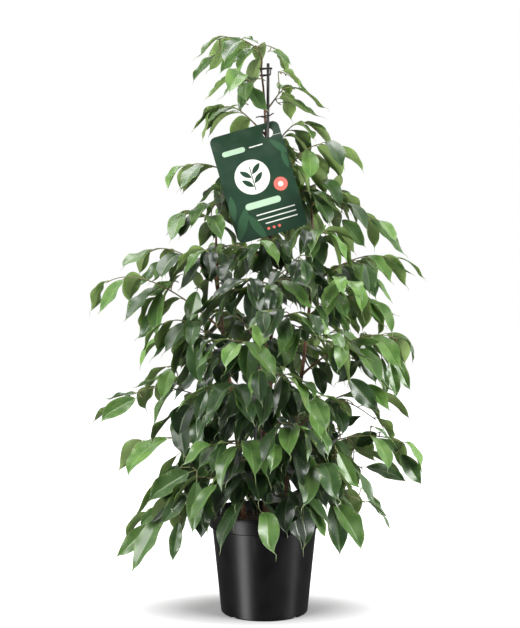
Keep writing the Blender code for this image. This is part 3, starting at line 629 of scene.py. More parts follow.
leafRule = dict(
    lengthLow=0.120,
    lengthTop=0.090,
    aspect=0.38,
    first=0.06,
    last=0.985,
    turn=(0.2, 1.3),
    lean=(0.15, 0.65),
    start=(0.35, 0.65, 0.20),
    arch=(0.26, 0.46),
    slack=1.05,
    faceUp=0.5,
    scale=(0.84, 1.12),
    lastScale=0.86,
    widthScale=(0.9, 1.1),
    soilLevel=0.166,
    crownHeight=0.84,
    spread=0.16,
    retrySpread=0.12,
    tries=14,
    stalkShare=0.17,
    skew=0.756,
    fullness=0.8,
    drip=0.9,
)


def branchCurve(root, tip, start):
    span = (tip - root).length
    outward = flat(tip - root).normalized()
    droop = (outward - up * branching["droop"]).normalized()
    return [root, root + start * span * branching["pull"][0], tip - droop * span * branching["pull"][1], tip]


def sprayCurve(name, stemPaths):
    spray = sprays[name]
    path = stemPaths[spray["stem"]]
    tip = Vector(spray["tip"])
    if spray["height"] is None:
        start = (path[-1] - path[-2]).normalized()
        return branchCurve(path[-1] + start * gap, tip, start)
    root = pointAtHeight(path, spray["height"])
    start = (flat(tip - root).normalized() + up * branching["rise"]).normalized()
    return branchCurve(root, tip, start)


def alongPath(points, share):
    place = share * (len(points) - 1)
    index = min(int(place), len(points) - 2)
    low, high = points[index], points[index + 1]
    return low.lerp(high, place - index), (high - low).normalized()


def twigParts(name, controls):
    spray = sprays[name]
    span = (controls[3] - controls[0]).length
    begin = 0.0 if spray["height"] is None else branching["woodyShare"] + gap / span
    points = stretchOf(controls, begin, 1.0, branching["twigPoints"])
    parts = [dict(controls=controls, begin=begin, points=points, count=spray["count"])]
    if "forkTip" in spray:
        root, along = alongPath(points, branching["forkAt"])
        tip = Vector(spray["forkTip"])
        start = (along * branching["forkFollow"] + (tip - root).normalized()).normalized()
        controls = branchCurve(root, tip, start)
        points = stretchOf(controls, 0.0, 1.0, branching["forkPoints"])
        parts.append(dict(controls=controls, begin=0.0, points=points, count=spray["forkCount"]))
    return parts


def leafPlan(seed, attempt, root, along, side, last=False, size=1.0):
    rule = leafRule
    draw = random.Random(f"{seed} {attempt}")
    outward = (flat(root).normalized() + flat(along).normalized()).normalized()
    low, high = rule["turn"]
    turn = draw.uniform(low, high) if not last else draw.uniform(-low, high)
    heading = Matrix.Rotation(side * turn, 3, "Z") @ outward
    spread = rule["spread"] * (1.0 + attempt * rule["retrySpread"])
    shake = Vector([draw.gauss(0.0, spread) for _ in range(3)])
    sway = Vector([draw.gauss(0.0, spread) for _ in range(3)])
    withTwig, out, rise = rule["start"]
    start = (along * withTwig + heading * out + up * rise + shake).normalized()
    hang = (heading * draw.uniform(*rule["lean"]) - up + sway).normalized()
    height = min(max((root.z - rule["soilLevel"]) / rule["crownHeight"], 0.0), 1.0)
    length = rule["lengthLow"] + (rule["lengthTop"] - rule["lengthLow"]) * height
    length *= draw.uniform(*rule["scale"]) * (rule["lastScale"] if last else 1.0)
    length *= size
    arch = draw.uniform(*rule["arch"])
    middle = root + start * length * arch
    tip = middle + hang * length * (rule["slack"] - arch)
    across = (tip - root).cross(heading + up * rule["faceUp"] + shake).normalized()
    width = length * rule["aspect"] * draw.uniform(*rule["widthScale"])
    return dict(curve=(root, middle, tip), across=across, length=length, width=width, seed=seed)


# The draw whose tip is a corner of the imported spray, or None where the solids skip this leaf
def solidLeaf(seed, root, along, side, last, corners):
    for attempt in range(leafRule["tries"]):
        leaf = leafPlan(seed, attempt, root, along, side, last)
        if corners.find(leaf["curve"][2])[2] < gap:
            return leaf
    return None


# Leaves

leafForm = dict(
    stalkRings=(0.0, 0.35, 0.7),
    rings=(0.0, 0.012, 0.04, 0.085, 0.14, 0.20, 0.27, 0.34, 0.41, 0.48, 0.55, 0.62, 0.69, 0.75, 0.81, 0.86,
           0.905, 0.945, 0.98),
    columns=(-1.0, -0.74, -0.42, -0.11, 0.0, 0.11, 0.42, 0.74, 1.0),
    stalkRadius=0.00075,
    stalkShare=0.13,  # of the whole leaf's length
    sheet=0.00030,  # half the blade's thickness between the veins
    midrib=0.00055,
    groove=0.00030,
    ribEdge=0.05,  # the midrib's reach across, of the half width
    ribTaper=1.1,
    narrow=0.006,  # half width under which midrib and groove fade
    sheetPower=3,
    fold=(0.16, 0.55),  # rise of the margin for each 1 of half width
    foldPower=1.3,
    foldLevel=0.40,
    wave=(0.0010, 0.0034),
    waves=(1.2, 2.6),  # along each margin
    waveEnds=0.7,  # how soon the waves die out at both ends
    waveInward=2.2,  # and how soon towards the midrib
    twist=0.80,
    twistFrom=0.35,
    tipCurl=1.6,  # how fast the tip curls, of the leaf's length
    curlFrom=0.72,
    curlAside=(-1.0, 1.0),
    curlUp=(-0.3, 0.9),
    bodyEnd=0.93,  # of the blade's length, where the drip tip starts
    skew=0.97,  # below 1 puts the widest place nearer the base
    fullness=0.62,
    taper=0.25,  # how fast the far half draws in
    dripWidth=0.15,
    dripTaper=0.40,
    slim=(0.87, 0.93),  # the blade's width against the solids', low in the crown and at its top
    slimHeights=(0.5, 0.9),
    tipThin=(1.2, 0.15),  # the least half width's fall along the blade, and where it ends
    reach=0.01,  # how far the drip tip passes the solids' tip, of the leaf's length
    tipEnd=0.0004,
    lengthSteps=25,
)


def coarseWidth(share):
    bulge = share ** leafRule["skew"]
    return (4.0 * bulge * (1.0 - bulge)) ** (leafRule["fullness"] + leafRule["drip"] * share * share)


def bladeWidth(share):
    form = leafForm
    power = form["fullness"] + form["taper"] * share * share
    body = max(math.sin(math.pi * min(share / form["bodyEnd"], 1.0) ** form["skew"]), 0.0) ** power
    return math.hypot(body, form["dripWidth"] * max(1.0 - share, 0.0) ** form["dripTaper"])


def leafFaces(ringCount, sides):
    faces = [tuple(reversed(range(sides)))] + ringFaces(ringCount, sides)
    base = (ringCount - 1) * sides
    faces += [(base + side, base + (side + 1) % sides, ringCount * sides) for side in range(sides)]
    return faces


bladeRings = np.array(leafForm["rings"])
stalkRings = np.array(leafForm["stalkRings"])
leafPlaces = np.concatenate([
    stalkRings * leafForm["stalkShare"],
    leafForm["stalkShare"] + (1.0 - leafForm["stalkShare"]) * bladeRings,
])
leafShares = np.concatenate([stalkRings - 1.0, bladeRings])  # below 0 on the stalk
bladeShares = np.clip(leafShares, 0.0, 1.0)
columns = np.array(leafForm["columns"])
ringAcross = np.concatenate([columns, columns[-2:0:-1]])
ringUnder = np.concatenate([[0.5], np.zeros(len(columns) - 2), [0.5], np.ones(len(columns) - 2)])
ringSides = len(ringAcross)
leafFaceList = leafFaces(len(leafPlaces), ringSides)


# Where a leaf's curve reaches each share of its own length
def sharesByLength(root, middle, tip):
    steps = np.linspace(0.0, 1.0, leafForm["lengthSteps"])[:, None]
    line = root * (1 - steps) ** 2 + middle * 2 * (1 - steps) * steps + tip * steps * steps
    lengths = np.concatenate([[0.0], np.cumsum(np.linalg.norm(np.diff(line, axis=0), axis=1))])
    return np.interp(leafPlaces, lengths / lengths[-1], steps[:, 0])


# A leaf's middle line, the ways across it and up from its face at each ring, and its very end
def leafLine(leaf, draw):
    form = leafForm
    root, middle, tip = [np.array(p) for p in leaf["curve"]]
    tip = tip + (tip - middle) / np.linalg.norm(tip - middle) * leaf["length"] * form["reach"]
    t = sharesByLength(root, middle, tip)[:, None]
    line = root * (1 - t) ** 2 + middle * 2 * (1 - t) * t + tip * t * t
    along = (middle - root) * (1 - t) + (tip - middle) * t
    along /= np.linalg.norm(along, axis=1)[:, None]
    across = np.array(leaf["across"])[None, :]
    across = across - along * (along @ np.array(leaf["across"]))[:, None]
    across /= np.linalg.norm(across, axis=1)[:, None]
    above = np.cross(across, along)

    turn = (bladeShares - form["twistFrom"]) * draw.uniform(-form["twist"], form["twist"])
    turn = np.where(leafShares > 0, turn, 0.0)[:, None]
    across, above = (across * np.cos(turn) + above * np.sin(turn),
                     above * np.cos(turn) - across * np.sin(turn))
    curl = np.clip(bladeShares - form["curlFrom"], 0.0, 1.0)[:, None] ** 2 * leaf["length"] * form["tipCurl"]
    aside = across * curl * draw.uniform(*form["curlAside"])
    line = line + aside + above * curl * draw.uniform(*form["curlUp"])
    end = line[-1] + along[-1] * (np.linalg.norm(tip - line[-1]) + form["tipEnd"])
    return line, across, above, end


# How each margin ripples up and down
def marginWaves(size, draw):
    form = leafForm
    reach = (np.sin(np.pi * bladeShares) ** form["waveEnds"])[:, None]
    wave = np.zeros((len(bladeShares), ringSides))
    for edge in (-1.0, 1.0):
        height = draw.uniform(*form["wave"]) * reach
        turns = draw.uniform(*form["waves"])
        phase = draw.uniform(0.0, 2 * math.pi)
        ripple = height * np.sin(2 * np.pi * turns * bladeShares[:, None] + phase)
        ripple = ripple * size ** form["waveInward"]
        wave = np.where(ringAcross[None, :] * edge > 0, ripple, wave)
    return wave


# The corners of each ring, across the middle line and above it: a round stalk, then a thin blade
def leafRings(leaf, draw):
    form = leafForm
    slimLow, slimTop = form["slim"]
    slim = slimLow + (slimTop - slimLow) * shareOf(leaf["curve"][0].z, *form["slimHeights"])
    half = leaf["width"] * slim / 2 * np.array([bladeWidth(share) for share in bladeShares])
    thinFrom, thinEnd = form["tipThin"]
    half = np.maximum(half, form["stalkRadius"] * np.clip(thinFrom - bladeShares, thinEnd, 1.0))[:, None]
    size = np.abs(ringAcross[None, :])
    fold = draw.uniform(*form["fold"]) * half * (size ** form["foldPower"] - form["foldLevel"])
    wave = marginWaves(size, draw)
    body = (1.0 - size ** form["sheetPower"]) * form["sheet"]
    isRib = size < form["ribEdge"]
    groove = np.where(isRib, form["groove"], 0.0)
    rib = np.where(isRib, form["midrib"], 0.0) * (form["ribTaper"] - bladeShares[:, None])
    narrow = np.clip(half / form["narrow"], 0.0, 1.0)
    top = body - groove * narrow
    bottom = -body - rib * narrow
    sheet = np.where(ringUnder[None, :] == 1.0, bottom, np.where(ringUnder[None, :] == 0.0, top, 0.0))

    angle = 2 * np.pi * np.arange(ringSides)[None, :] / ringSides
    isRound = (leafShares <= 0.0)[:, None]  # the blade's first ring too
    x = np.where(isRound, -np.cos(angle) * form["stalkRadius"], ringAcross[None, :] * half)
    y = np.where(isRound, np.sin(angle) * form["stalkRadius"], fold + wave + sheet)
    return x[..., None], y[..., None]


def leafBody(leaf):
    draw = random.Random("form " + leaf["seed"])
    line, across, above, end = leafLine(leaf, draw)
    x, y = leafRings(leaf, draw)
    points = line[:, None, :] + across[:, None, :] * x + above[:, None, :] * y
    points = np.concatenate([points.reshape(-1, 3), end[None, :]])
    ones = np.ones((len(leafShares), ringSides))
    return points, dict(
        along=np.append((leafShares[:, None] * ones).ravel(), 1.0),
        across=np.append((ringAcross[None, :] * ones).ravel(), 0.0),
        under=np.append((ringUnder[None, :] * ones).ravel(), 0.5),
    )


toneSetup = dict(
    leaf=0.36,
    leaf_young=0.56,
    leaf_deep=0.20,
    spread=0.26,
    topLift=0.27,  # leaves near the top are younger
    top=(0.72, 0.97),
    outerPaintedLight=0.58,  # painted light: leaves far from the axis get a lighter tone
    outer=(0.11, 0.24),  # from and to this distance from the axis
    frontShare=0.65,  # how much the distance to the front or back counts in it
    innerPaintedShade=0.26,  # painted shade: leaves near the stems get a darker tone
    innerRadius=0.13,
    innerHeight=0.8,
    lowPaintedShade=0.34,  # painted shade: darker still low in the middle
    low=(0.28, 0.50),
    freshTone=(0.64, 0.86),
    freshReach=0.030,
    shiftReach=0.068,  # how far a painted shift of light and shade reaches
    middle=0.6,  # of the leaf's curve, where its blade is judged
)

# Where the youngest, brightest leaves hang, as seen from the front: sideways, and height
freshPlaces = [
    (-0.077, 0.690), (-0.150, 0.562), (0.178, 0.507), (0.049, 0.461), (-0.034, 0.452),
    (0.045, 0.356), (0.074, 0.387), (0.105, 0.383), (-0.070, 0.288), (-0.028, 0.270),
    (0.063, 0.299), (0.092, 0.264), (0.147, 0.259), (0.133, 0.157), (-0.118, 0.197),
    (-0.231, 0.131), (-0.176, 0.261), (0.003, 0.142), (0.078, 0.162), (0.063, 0.858),
    (0.003, 0.653), (-0.108, 0.648), (0.061, 0.582),
]


# Where the crown is painted darker with shade or lighter with light, through the leaves' tone: sideways,
# height, and by how much
paintedShadeAndLight = [
    (-0.103, 0.495, -0.55), (-0.025, 0.395, -0.46), (-0.086, 0.400, -0.26), (-0.025, 0.300, -0.32),
    (-0.017, 0.185, -0.36), (-0.190, 0.252, 0.26), (-0.060, 0.660, 0.26), (0.070, 0.495, 0.24),
    (0.157, 0.504, 0.30), (0.157, 0.325, 0.45), (0.157, 0.183, 0.55), (0.070, 0.694, 0.40),
    (0.070, 0.800, 0.40),
]


def bladeCentre(leaf):
    return curveAt(leaf["curve"], toneSetup["middle"])


# A point moved onto the upright plane through the axis, along the line to the camera
def seenAt(point):
    eye = Vector(cameraSetup["place"])
    return eye + (point - eye) * (-eye.y / (point.y - eye.y))


def markFreshLeaves(leaves):
    for x, z in freshPlaces:
        near = [leaf for leaf in leaves if (seenAt(bladeCentre(leaf)) - Vector((x, 0.0, z))).length
                < toneSetup["freshReach"]]
        if near:
            min(near, key=lambda leaf: bladeCentre(leaf).y)["fresh"] = True


def leafTone(leaf, slotName):
    setup = toneSetup
    draw = random.Random("tone " + leaf["seed"])
    if "tone" in leaf:
        return leaf["tone"]
    if leaf.get("fresh"):
        return draw.uniform(*setup["freshTone"])
    centre = bladeCentre(leaf)
    radius = math.hypot(centre.x, centre.y * setup["frontShare"])
    outer = shareOf(radius, *setup["outer"])
    tone = setup[slotName] + draw.gauss(0.0, setup["spread"])
    # Young growth lifts the tone at the top; painted light lifts it towards the crown's edge, and painted
    # shade lowers it near the stems and low in the middle
    tone += setup["topLift"] * shareOf(centre.z, *setup["top"]) + setup["outerPaintedLight"] * outer
    if radius < setup["innerRadius"] and centre.z < setup["innerHeight"]:
        tone -= setup["innerPaintedShade"]
    tone -= setup["lowPaintedShade"] * (1.0 - outer) * (1.0 - shareOf(centre.z, *setup["low"]))
    seen = seenAt(centre)
    # Painted shade and light by place, as seen from the front
    for x, z, shift in paintedShadeAndLight:
        away = math.hypot(seen.x - x, seen.z - z)
        tone += shift * max(0.0, 1.0 - away / setup["shiftReach"])
    return min(max(tone, 0.0), 1.0)


# Leaf finish

leafFinish = dict(
    deep=(0.009, 0.025, 0.008),
    mid=(0.046, 0.098, 0.029),
    fresh=(0.178, 0.325, 0.078),
    cloudTint=(0.50, 0.62, 0.50),
    cloudScale=38.0,
    cloudSpan=(0.36, 0.66),
    cloudShare=0.85,
    under=(0.240, 0.315, 0.110),
    # A dark-toned leaf's underside, darker with age and with the painted shade its tone carries
    underDeep=(0.075, 0.115, 0.040),
    underShare=0.70,
    underSpan=(0.54, 0.86),  # fades out at the margin
    veins=13.0,  # along the blade, each side
    veinSlant=2.6,
    veinSpan=(0.38, 0.5),
    veinEnds=(0.95, 0.75),  # across, from where a vein has faded to where it is full
    veinPale=0.19,
    rib=(0.150, 0.210, 0.060),
    ribShare=0.35,
    ribSpan=(0.12, 0.03),
    ribPale=0.66,
    # The pale line along the margin is a painted rim highlight
    marginSpan=(0.955, 0.995),
    marginPale=0.16,
    tip=(0.330, 0.400, 0.200),
    tipSpan=(0.86, 1.0),
    tipShare=0.65,
    stalk=(0.230, 0.270, 0.080),
    stalkSpan=(0.015, -0.02),
    stalkShare=0.8,
    roughness=0.33,
    wear=0.10,
    wearScale=60.0,
    underRough=0.22,
    gloss=0.55,
    underDull=0.50,
    ripple=-0.30,  # the blade swells between its veins
    grain=0.20,
    grainScale=200.0,
    veinDepth=0.5,
)


# Side veins slant forward from the midrib, and a pale line runs along the midrib; the pale line along the
# margin is a painted rim highlight
def leafLines(group, given):
    finish = leafFinish
    side = mathOf(group, "ABSOLUTE", given["Across"])
    slant = times(group, side, finish["veinSlant"])
    course = minus(group, times(group, given["Along"], finish["veins"]), slant)
    saw = mathOf(group, "ABSOLUTE", minus(group, mathOf(group, "FRACT", course), 0.5))
    vein = times(group, rangeOf(group, saw, *finish["veinSpan"]), rangeOf(group, side, *finish["veinEnds"]))
    pale = times(group, vein, finish["veinPale"])
    # The midrib's pale line is its own colour; the margin's is a painted rim highlight
    for line in ("rib", "margin"):
        mask = times(group, rangeOf(group, side, *finish[line + "Span"]), finish[line + "Pale"])
        pale = mathOf(group, "MAXIMUM", pale, mask)
    return course, vein, pale


def leafColours(group, given, pale, isUnder):
    finish = leafFinish
    # The tone holds painted shade and light as well as the leaf's age, so the deep colour and the darker
    # underside stand partly for painted shade
    deepToMid = rangeOf(group, given["Tone"], 0.0, 0.5, smooth=False)
    midToFresh = rangeOf(group, given["Tone"], 0.5, 1.0, smooth=False)
    colour = mixOf(group, deepToMid, given["Deep"], given["Mid"])
    colour = mixOf(group, midToFresh, colour, given["Fresh"])
    cloud = rangeOf(group, noiseOf(group, finish["cloudScale"], detail=3.0), *finish["cloudSpan"])
    darker = mixOf(group, 1.0, colour, finish["cloudTint"], "MULTIPLY")
    shade = mixOf(group, times(group, cloud, finish["cloudShare"]), colour, darker)
    upper = mixOf(group, pale, shade, mixOf(group, finish["ribShare"], colour, finish["rib"], "ADD"))
    underside = mixOf(group, deepToMid, finish["underDeep"], finish["under"])
    colour = mixOf(group, isUnder, upper, mixOf(group, finish["underShare"], upper, underside))
    for end in ("tip", "stalk"):
        mask = times(group, rangeOf(group, given["Along"], *finish[end + "Span"]), finish[end + "Share"])
        colour = mixOf(group, mask, colour, finish[end])
    return colour


def makeLeafGroup():
    finish = leafFinish
    group, given, made = newGroup(
        "leafMarks",
        {"Along": 0.5, "Across": 0.0, "Under": 0.0, "Tone": 0.5, "Deep": finish["deep"], "Mid": finish["mid"],
         "Fresh": finish["fresh"]},
        {"Colour": "Color", "Roughness": "Float", "Height": "Float", "Gloss": "Float"},
    )
    course, vein, pale = leafLines(group, given)
    isUnder = rangeOf(group, given["Under"], *finish["underSpan"])
    feed(group, leafColours(group, given, pale, isUnder), made["Colour"])
    wear = times(group, noiseOf(group, finish["wearScale"]), finish["wear"])
    rough = plus(group, wear, times(group, isUnder, finish["underRough"]))
    feed(group, plus(group, rough, finish["roughness"]), made["Roughness"])
    ripple = times(group, mathOf(group, "SINE", times(group, course, 2 * math.pi)), finish["ripple"])
    grain = times(group, noiseOf(group, finish["grainScale"], detail=1.0), finish["grain"])
    height = minus(group, plus(group, ripple, grain), times(group, vein, finish["veinDepth"]))
    feed(group, height, made["Height"])
    feed(group, minus(group, finish["gloss"], times(group, isUnder, finish["underDull"])), made["Gloss"])


def leafMaterial(name):
    material, tree, shader = newMaterial(name, specular=0.40, coatRoughness=0.24, glow=0.25,
                                         glowReach=(0.7, 1.0, 0.3), glowScale=0.0015)
    values = {label: attributeOf(tree, label) for label in ("along", "across", "under", "tone")}
    marks = placeGroup(tree, "leafMarks", **values)
    feed(tree, marks["Gloss"], shader["Coat Weight"])
    dress(tree, shader, marks["Colour"], marks["Roughness"], marks["Height"], strength=0.22, distance=0.0005)
    return material


# Bark of the stems, branches and green twigs

barkFinish = dict(
    brown=(0.150, 0.066, 0.032),
    dark=(0.040, 0.022, 0.015),
    streakScale=260.0,
    streakStretch=(1.0, 1.0, 0.16),
    streakSpan=(0.36, 0.66),
    red=(0.200, 0.075, 0.030),
    redScale=34.0,
    redSpan=(0.42, 0.62),
    redShare=0.45,
    grey=(0.260, 0.235, 0.200),
    greyScale=52.0,
    greyStretch=(1.0, 1.0, 0.4),
    greySpan=(0.56, 0.72),
    greyShare=0.55,
    dotScale=330.0,
    dotSpan=(0.26, 0.16),
    dotShare=0.6,
    dotHeight=0.8,
    scarShare=0.6,
    green=(0.170, 0.190, 0.080),
    greenStreak=0.3,
    roughness=0.78,
    youngSmooth=0.30,
    streakSmooth=0.08,
)


def makeBarkGroup():
    finish = barkFinish
    group, given, made = newGroup(
        "barkMarks",
        {"Young": 0.0, "Scar": 0.0, "Brown": finish["brown"], "Green": finish["green"]},
        {"Colour": "Color", "Roughness": "Float", "Height": "Float"},
    )
    streaks = noiseOf(group, finish["streakScale"], detail=5.0, stretch=finish["streakStretch"])
    streaks = rangeOf(group, streaks, *finish["streakSpan"])
    red = rangeOf(group, noiseOf(group, finish["redScale"], detail=3.0), *finish["redSpan"])
    grey = noiseOf(group, finish["greyScale"], detail=4.0, stretch=finish["greyStretch"])
    grey = rangeOf(group, grey, *finish["greySpan"], 0.0, finish["greyShare"])
    dots = addNode(group, "TexVoronoi", feature="F1")
    feed(group, addNode(group, "TexCoord").outputs["Object"], dots.inputs["Vector"])
    feed(group, finish["dotScale"], dots.inputs["Scale"])
    dots = rangeOf(group, dots.outputs["Distance"], *finish["dotSpan"], 0.0, finish["dotShare"])
    colour = mixOf(group, streaks, finish["dark"], given["Brown"])
    colour = mixOf(group, times(group, red, finish["redShare"]), colour, finish["red"])
    colour = mixOf(group, grey, colour, finish["grey"])
    colour = mixOf(group, dots, colour, finish["grey"])
    colour = mixOf(group, times(group, given["Scar"], finish["scarShare"]), colour, finish["dark"])
    fresh = mixOf(group, finish["greenStreak"], given["Green"], given["Brown"])
    fresh = mixOf(group, streaks, given["Green"], fresh)
    feed(group, mixOf(group, given["Young"], colour, fresh), made["Colour"])
    rough = minus(group, finish["roughness"], times(group, given["Young"], finish["youngSmooth"]))
    feed(group, minus(group, rough, times(group, streaks, finish["streakSmooth"])), made["Roughness"])
    feed(group, plus(group, streaks, times(group, dots, finish["dotHeight"])), made["Height"])


def barkMaterial(name):
    material, tree, shader = newMaterial(name, specular=0.35)
    marks = placeGroup(tree, "barkMarks", young=attributeOf(tree, "young"), scar=attributeOf(tree, "scar"))
    dress(tree, shader, marks["Colour"], marks["Roughness"], marks["Height"], strength=0.5, distance=0.0004)
    return material


# Twigs: round, a little thicker at each leaf, and ending in a pointed bud

twigForm = dict(
    start=0.00135,
    end=0.00080,
    forkStart=0.00110,
    sides=8,
    rings=26,
    knuckle=0.22,
    knuckleReach=0.022,
    budRadii=(1.25, 1.35, 1.0, 0.45),  # of the twig's end
    budLength=0.0075,
    young=(0.30, 1.2),  # how green the twig's start is, and how fast it gets greener
    scarReach=0.012,
    bareKnuckle=0.5,  # place of the one knuckle of a twig that lost its leaves
)


# How far a place along the twig is from its nearest leaf
def toLeaf(part, place):
    return min(abs(place - share) for share in part["shares"])


def twigBody(part, thick):
    form = twigForm
    last = form["rings"] - 1
    points = []
    radii = []
    for ring in range(form["rings"]):
        place = ring / last
        points.append(cubic(part["controls"], part["begin"] + (1.0 - part["begin"]) * place))
        radius = thick + (form["end"] - thick) * place
        near = toLeaf(part, place) / form["knuckleReach"]
        radii.append(radius * (1.0 + form["knuckle"] * math.exp(-near * near)))
    way = (points[-1] - points[-2]).normalized()
    step = form["budLength"] / len(form["budRadii"])
    for scale in form["budRadii"]:
        points.append(points[-1] + way * step)
        radii.append(form["end"] * scale)
    vertices, faces = tube(points, radii, form["sides"], pointed=True)
    green, rise = form["young"]
    young = [min(1.0, green + rise * ring / form["rings"]) for ring in range(len(points))]
    scar = [math.exp(-(toLeaf(part, ring / last) / form["scarReach"]) ** 2) for ring in range(len(points))]
    young = np.append(np.repeat(young, form["sides"]), 1.0)
    scar = np.append(np.repeat(scar, form["sides"]), 0.0)
    return vertices, faces, dict(young=young, scar=scar)


# Extra leaves between those of the solids, and on short side twigs

extraRule = dict(
    tries=14,
    clearance=0.0010,
    sizes=(0.72, 0.96),
    woodShares=(0.10, 0.16, 0.22, 0.28),  # of the branch's curve
    sideTwigs=(0.14, 0.42, 0.84),
    sideLength=(0.030, 0.055),
    sideTurn=(0.7, 1.25),
    sideRise=(-0.2, 0.25),
    sideFollow=0.4,
    sideShares=(0.45, 1.0),
    halfThick=0.0004,
    leastWidth=0.0018,
    stations=(0.0, 0.30, 0.68),
    tipRoom=0.022,  # how far a tip may hang out of the close crown
    boxRoom=0.004,  # how far a leaf may pass the solids' own box
)

# How far the close foliage reaches, as seen from the front: height, left and right
closeCrown = [
    (0.195, -0.170, 0.085), (0.240, -0.155, 0.150), (0.300, -0.125, 0.150), (0.350, -0.130, 0.115),
    (0.400, -0.150, 0.150), (0.460, -0.140, 0.215), (0.520, -0.140, 0.190), (0.570, -0.095, 0.185),
    (0.630, -0.105, 0.195), (0.680, -0.090, 0.160), (0.740, -0.090, 0.100), (0.815, -0.080, 0.110),
    (0.850, -0.040, 0.050),
]

def inCloseCrown(point, room=0.0):
    seen = seenAt(point)
    for (low, leftLow, rightLow), (high, leftHigh, rightHigh) in zip(closeCrown, closeCrown[1:]):
        if low <= seen.z <= high:
            share = (seen.z - low) / (high - low)
            left = leftLow + (leftHigh - leftLow) * share - room
            right = rightLow + (rightHigh - rightLow) * share + room
            return left < seen.x < right
    return False


# Where light shows through the crown: sideways, height and reach
clearPlaces = [
    (0.070, 0.815, 0.028), (0.095, 0.720, 0.030), (0.062, 0.655, 0.026), (-0.105, 0.590, 0.028),
]


def inClearPlace(point):
    seen = seenAt(point)
    return any(math.hypot(seen.x - x, seen.z - z) < reach for x, z, reach in clearPlaces)


# A plain closed blade, for keeping leaves apart
def coarseLeaf(leaf, grow):
    root, middle, tip = leaf["curve"]
    vertices = []
    for share in extraRule["stations"]:
        place = leafRule["stalkShare"] + (1.0 - leafRule["stalkShare"]) * share
        point = curveAt(leaf["curve"], place)
        along = ((middle - root) * (1.0 - place) + (tip - middle) * place).normalized()
        across = (leaf["across"] - along * leaf["across"].dot(along)).normalized()
        above = across.cross(along)
        half = max(leaf["width"] * coarseWidth(share), extraRule["leastWidth"]) / 2 + grow
        thick = extraRule["halfThick"] + grow
        corners = ((1, 1), (-1, 1), (-1, -1), (1, -1))
        vertices += [point + across * x * half + above * z * thick for x, z in corners]
    vertices.append(tip)
    faces = [(0, 1, 2, 3)]
    for ring in range(len(extraRule["stations"]) - 1):
        a = ring * 4
        faces += [(a + i, a + 4 + i, a + 4 + (i + 1) % 4, a + (i + 1) % 4) for i in range(4)]
    last = (len(extraRule["stations"]) - 1) * 4
    faces += [(last + i, len(vertices) - 1, last + (i + 1) % 4) for i in range(4)]
    return vertices, faces


def boxedTree(vertices, faces):
    low = [min(v[i] for v in vertices) for i in range(3)]
    high = [max(v[i] for v in vertices) for i in range(3)]
    return low, high, BVHTree.FromPolygons([tuple(v) for v in vertices], faces)


def touches(entry, others):
    low, high, tree = entry
    for otherLow, otherHigh, other in others:
        if all(low[i] <= otherHigh[i] and high[i] >= otherLow[i] for i in range(3)) and tree.overlap(other):
            return True
    return False


def fitsIn(vertices):
    room = extraRule["boxRoom"]
    return all(cadLow[i] - room < vertex[i] < cadHigh[i] + room for vertex in vertices for i in range(3))


def extraLeaf(seed, root, along, side, last, placed):
    size = random.Random("size " + seed).uniform(*extraRule["sizes"])
    for attempt in range(extraRule["tries"]):
        leaf = leafPlan(seed, attempt, root, along, side, last, size)
        vertices, faces = coarseLeaf(leaf, extraRule["clearance"])
        centre = bladeCentre(leaf)
        tip = leaf["curve"][2] + up * extraRule["tipRoom"]
        if not inCloseCrown(centre) or not inCloseCrown(tip, extraRule["tipRoom"]) or inClearPlace(centre):
            continue
        if not fitsIn(vertices) or any(map(hidesTag, vertices)):
            continue
        if touches(boxedTree(vertices, faces), placed):
            continue
        placed.append(boxedTree(*coarseLeaf(leaf, 0.0)))
        return leaf
    return None


def sideTwig(name, label, root, along, side):
    draw = random.Random(f"side {name} {label}")
    turn = Matrix.Rotation(side * draw.uniform(*extraRule["sideTurn"]), 3, "Z")
    way = (turn @ flat(along).normalized() + up * draw.uniform(*extraRule["sideRise"])).normalized()
    tip = root + way * draw.uniform(*extraRule["sideLength"])
    start = (along * extraRule["sideFollow"] + way).normalized()
    return dict(controls=branchCurve(root, tip, start), begin=0.0, shares=list(extraRule["sideShares"]))


def onCurve(part, share):
    t = part["begin"] + (1.0 - part["begin"]) * share
    return cubic(part["controls"], t), cubicWay(part["controls"], t)


def extraLeaves(name, controls, parts, placed):
    leaves = []
    twigs = []
    for partIndex, part in enumerate(parts):
        span = leafRule["last"] - leafRule["first"]
        for step in range(part["count"] - 1):
            share = leafRule["first"] + span * (step + 0.5) / (part["count"] - 1)
            root, along = onCurve(part, share)
            side = -1.0 if (step + partIndex) % 2 else 1.0
            leaf = extraLeaf(f"extra {name} {partIndex} {step}", root, along, side, False, placed)
            if leaf:
                leaves.append(leaf)
                part["shares"].append(share)
        for step, share in enumerate(extraRule["sideTwigs"]):
            root, along = onCurve(part, share)
            side = 1.0 if step % 2 else -1.0
            twig = sideTwig(name, f"{partIndex} {step}", root, along, side)
            held = []
            for order, place in enumerate(twig["shares"]):
                leafRoot, leafWay = onCurve(twig, place)
                last = order == len(twig["shares"]) - 1
                seed = f"side {name} {partIndex} {step} {order}"
                leaf = extraLeaf(seed, leafRoot, leafWay, -side if order % 2 else side, last, placed)
                if leaf:
                    held.append(leaf)
            if held:
                twigs.append(twig)
                leaves += held
    if sprays[name]["height"] is not None:
        for step, share in enumerate(extraRule["woodShares"]):
            root = cubic(controls, share)
            along = cubicWay(controls, share)
            side = 1.0 if step % 2 else -1.0
            leaf = extraLeaf(f"wood {name} {step}", root, along, side, False, placed)
            if leaf:
                leaves.append(leaf)
    return leaves, twigs
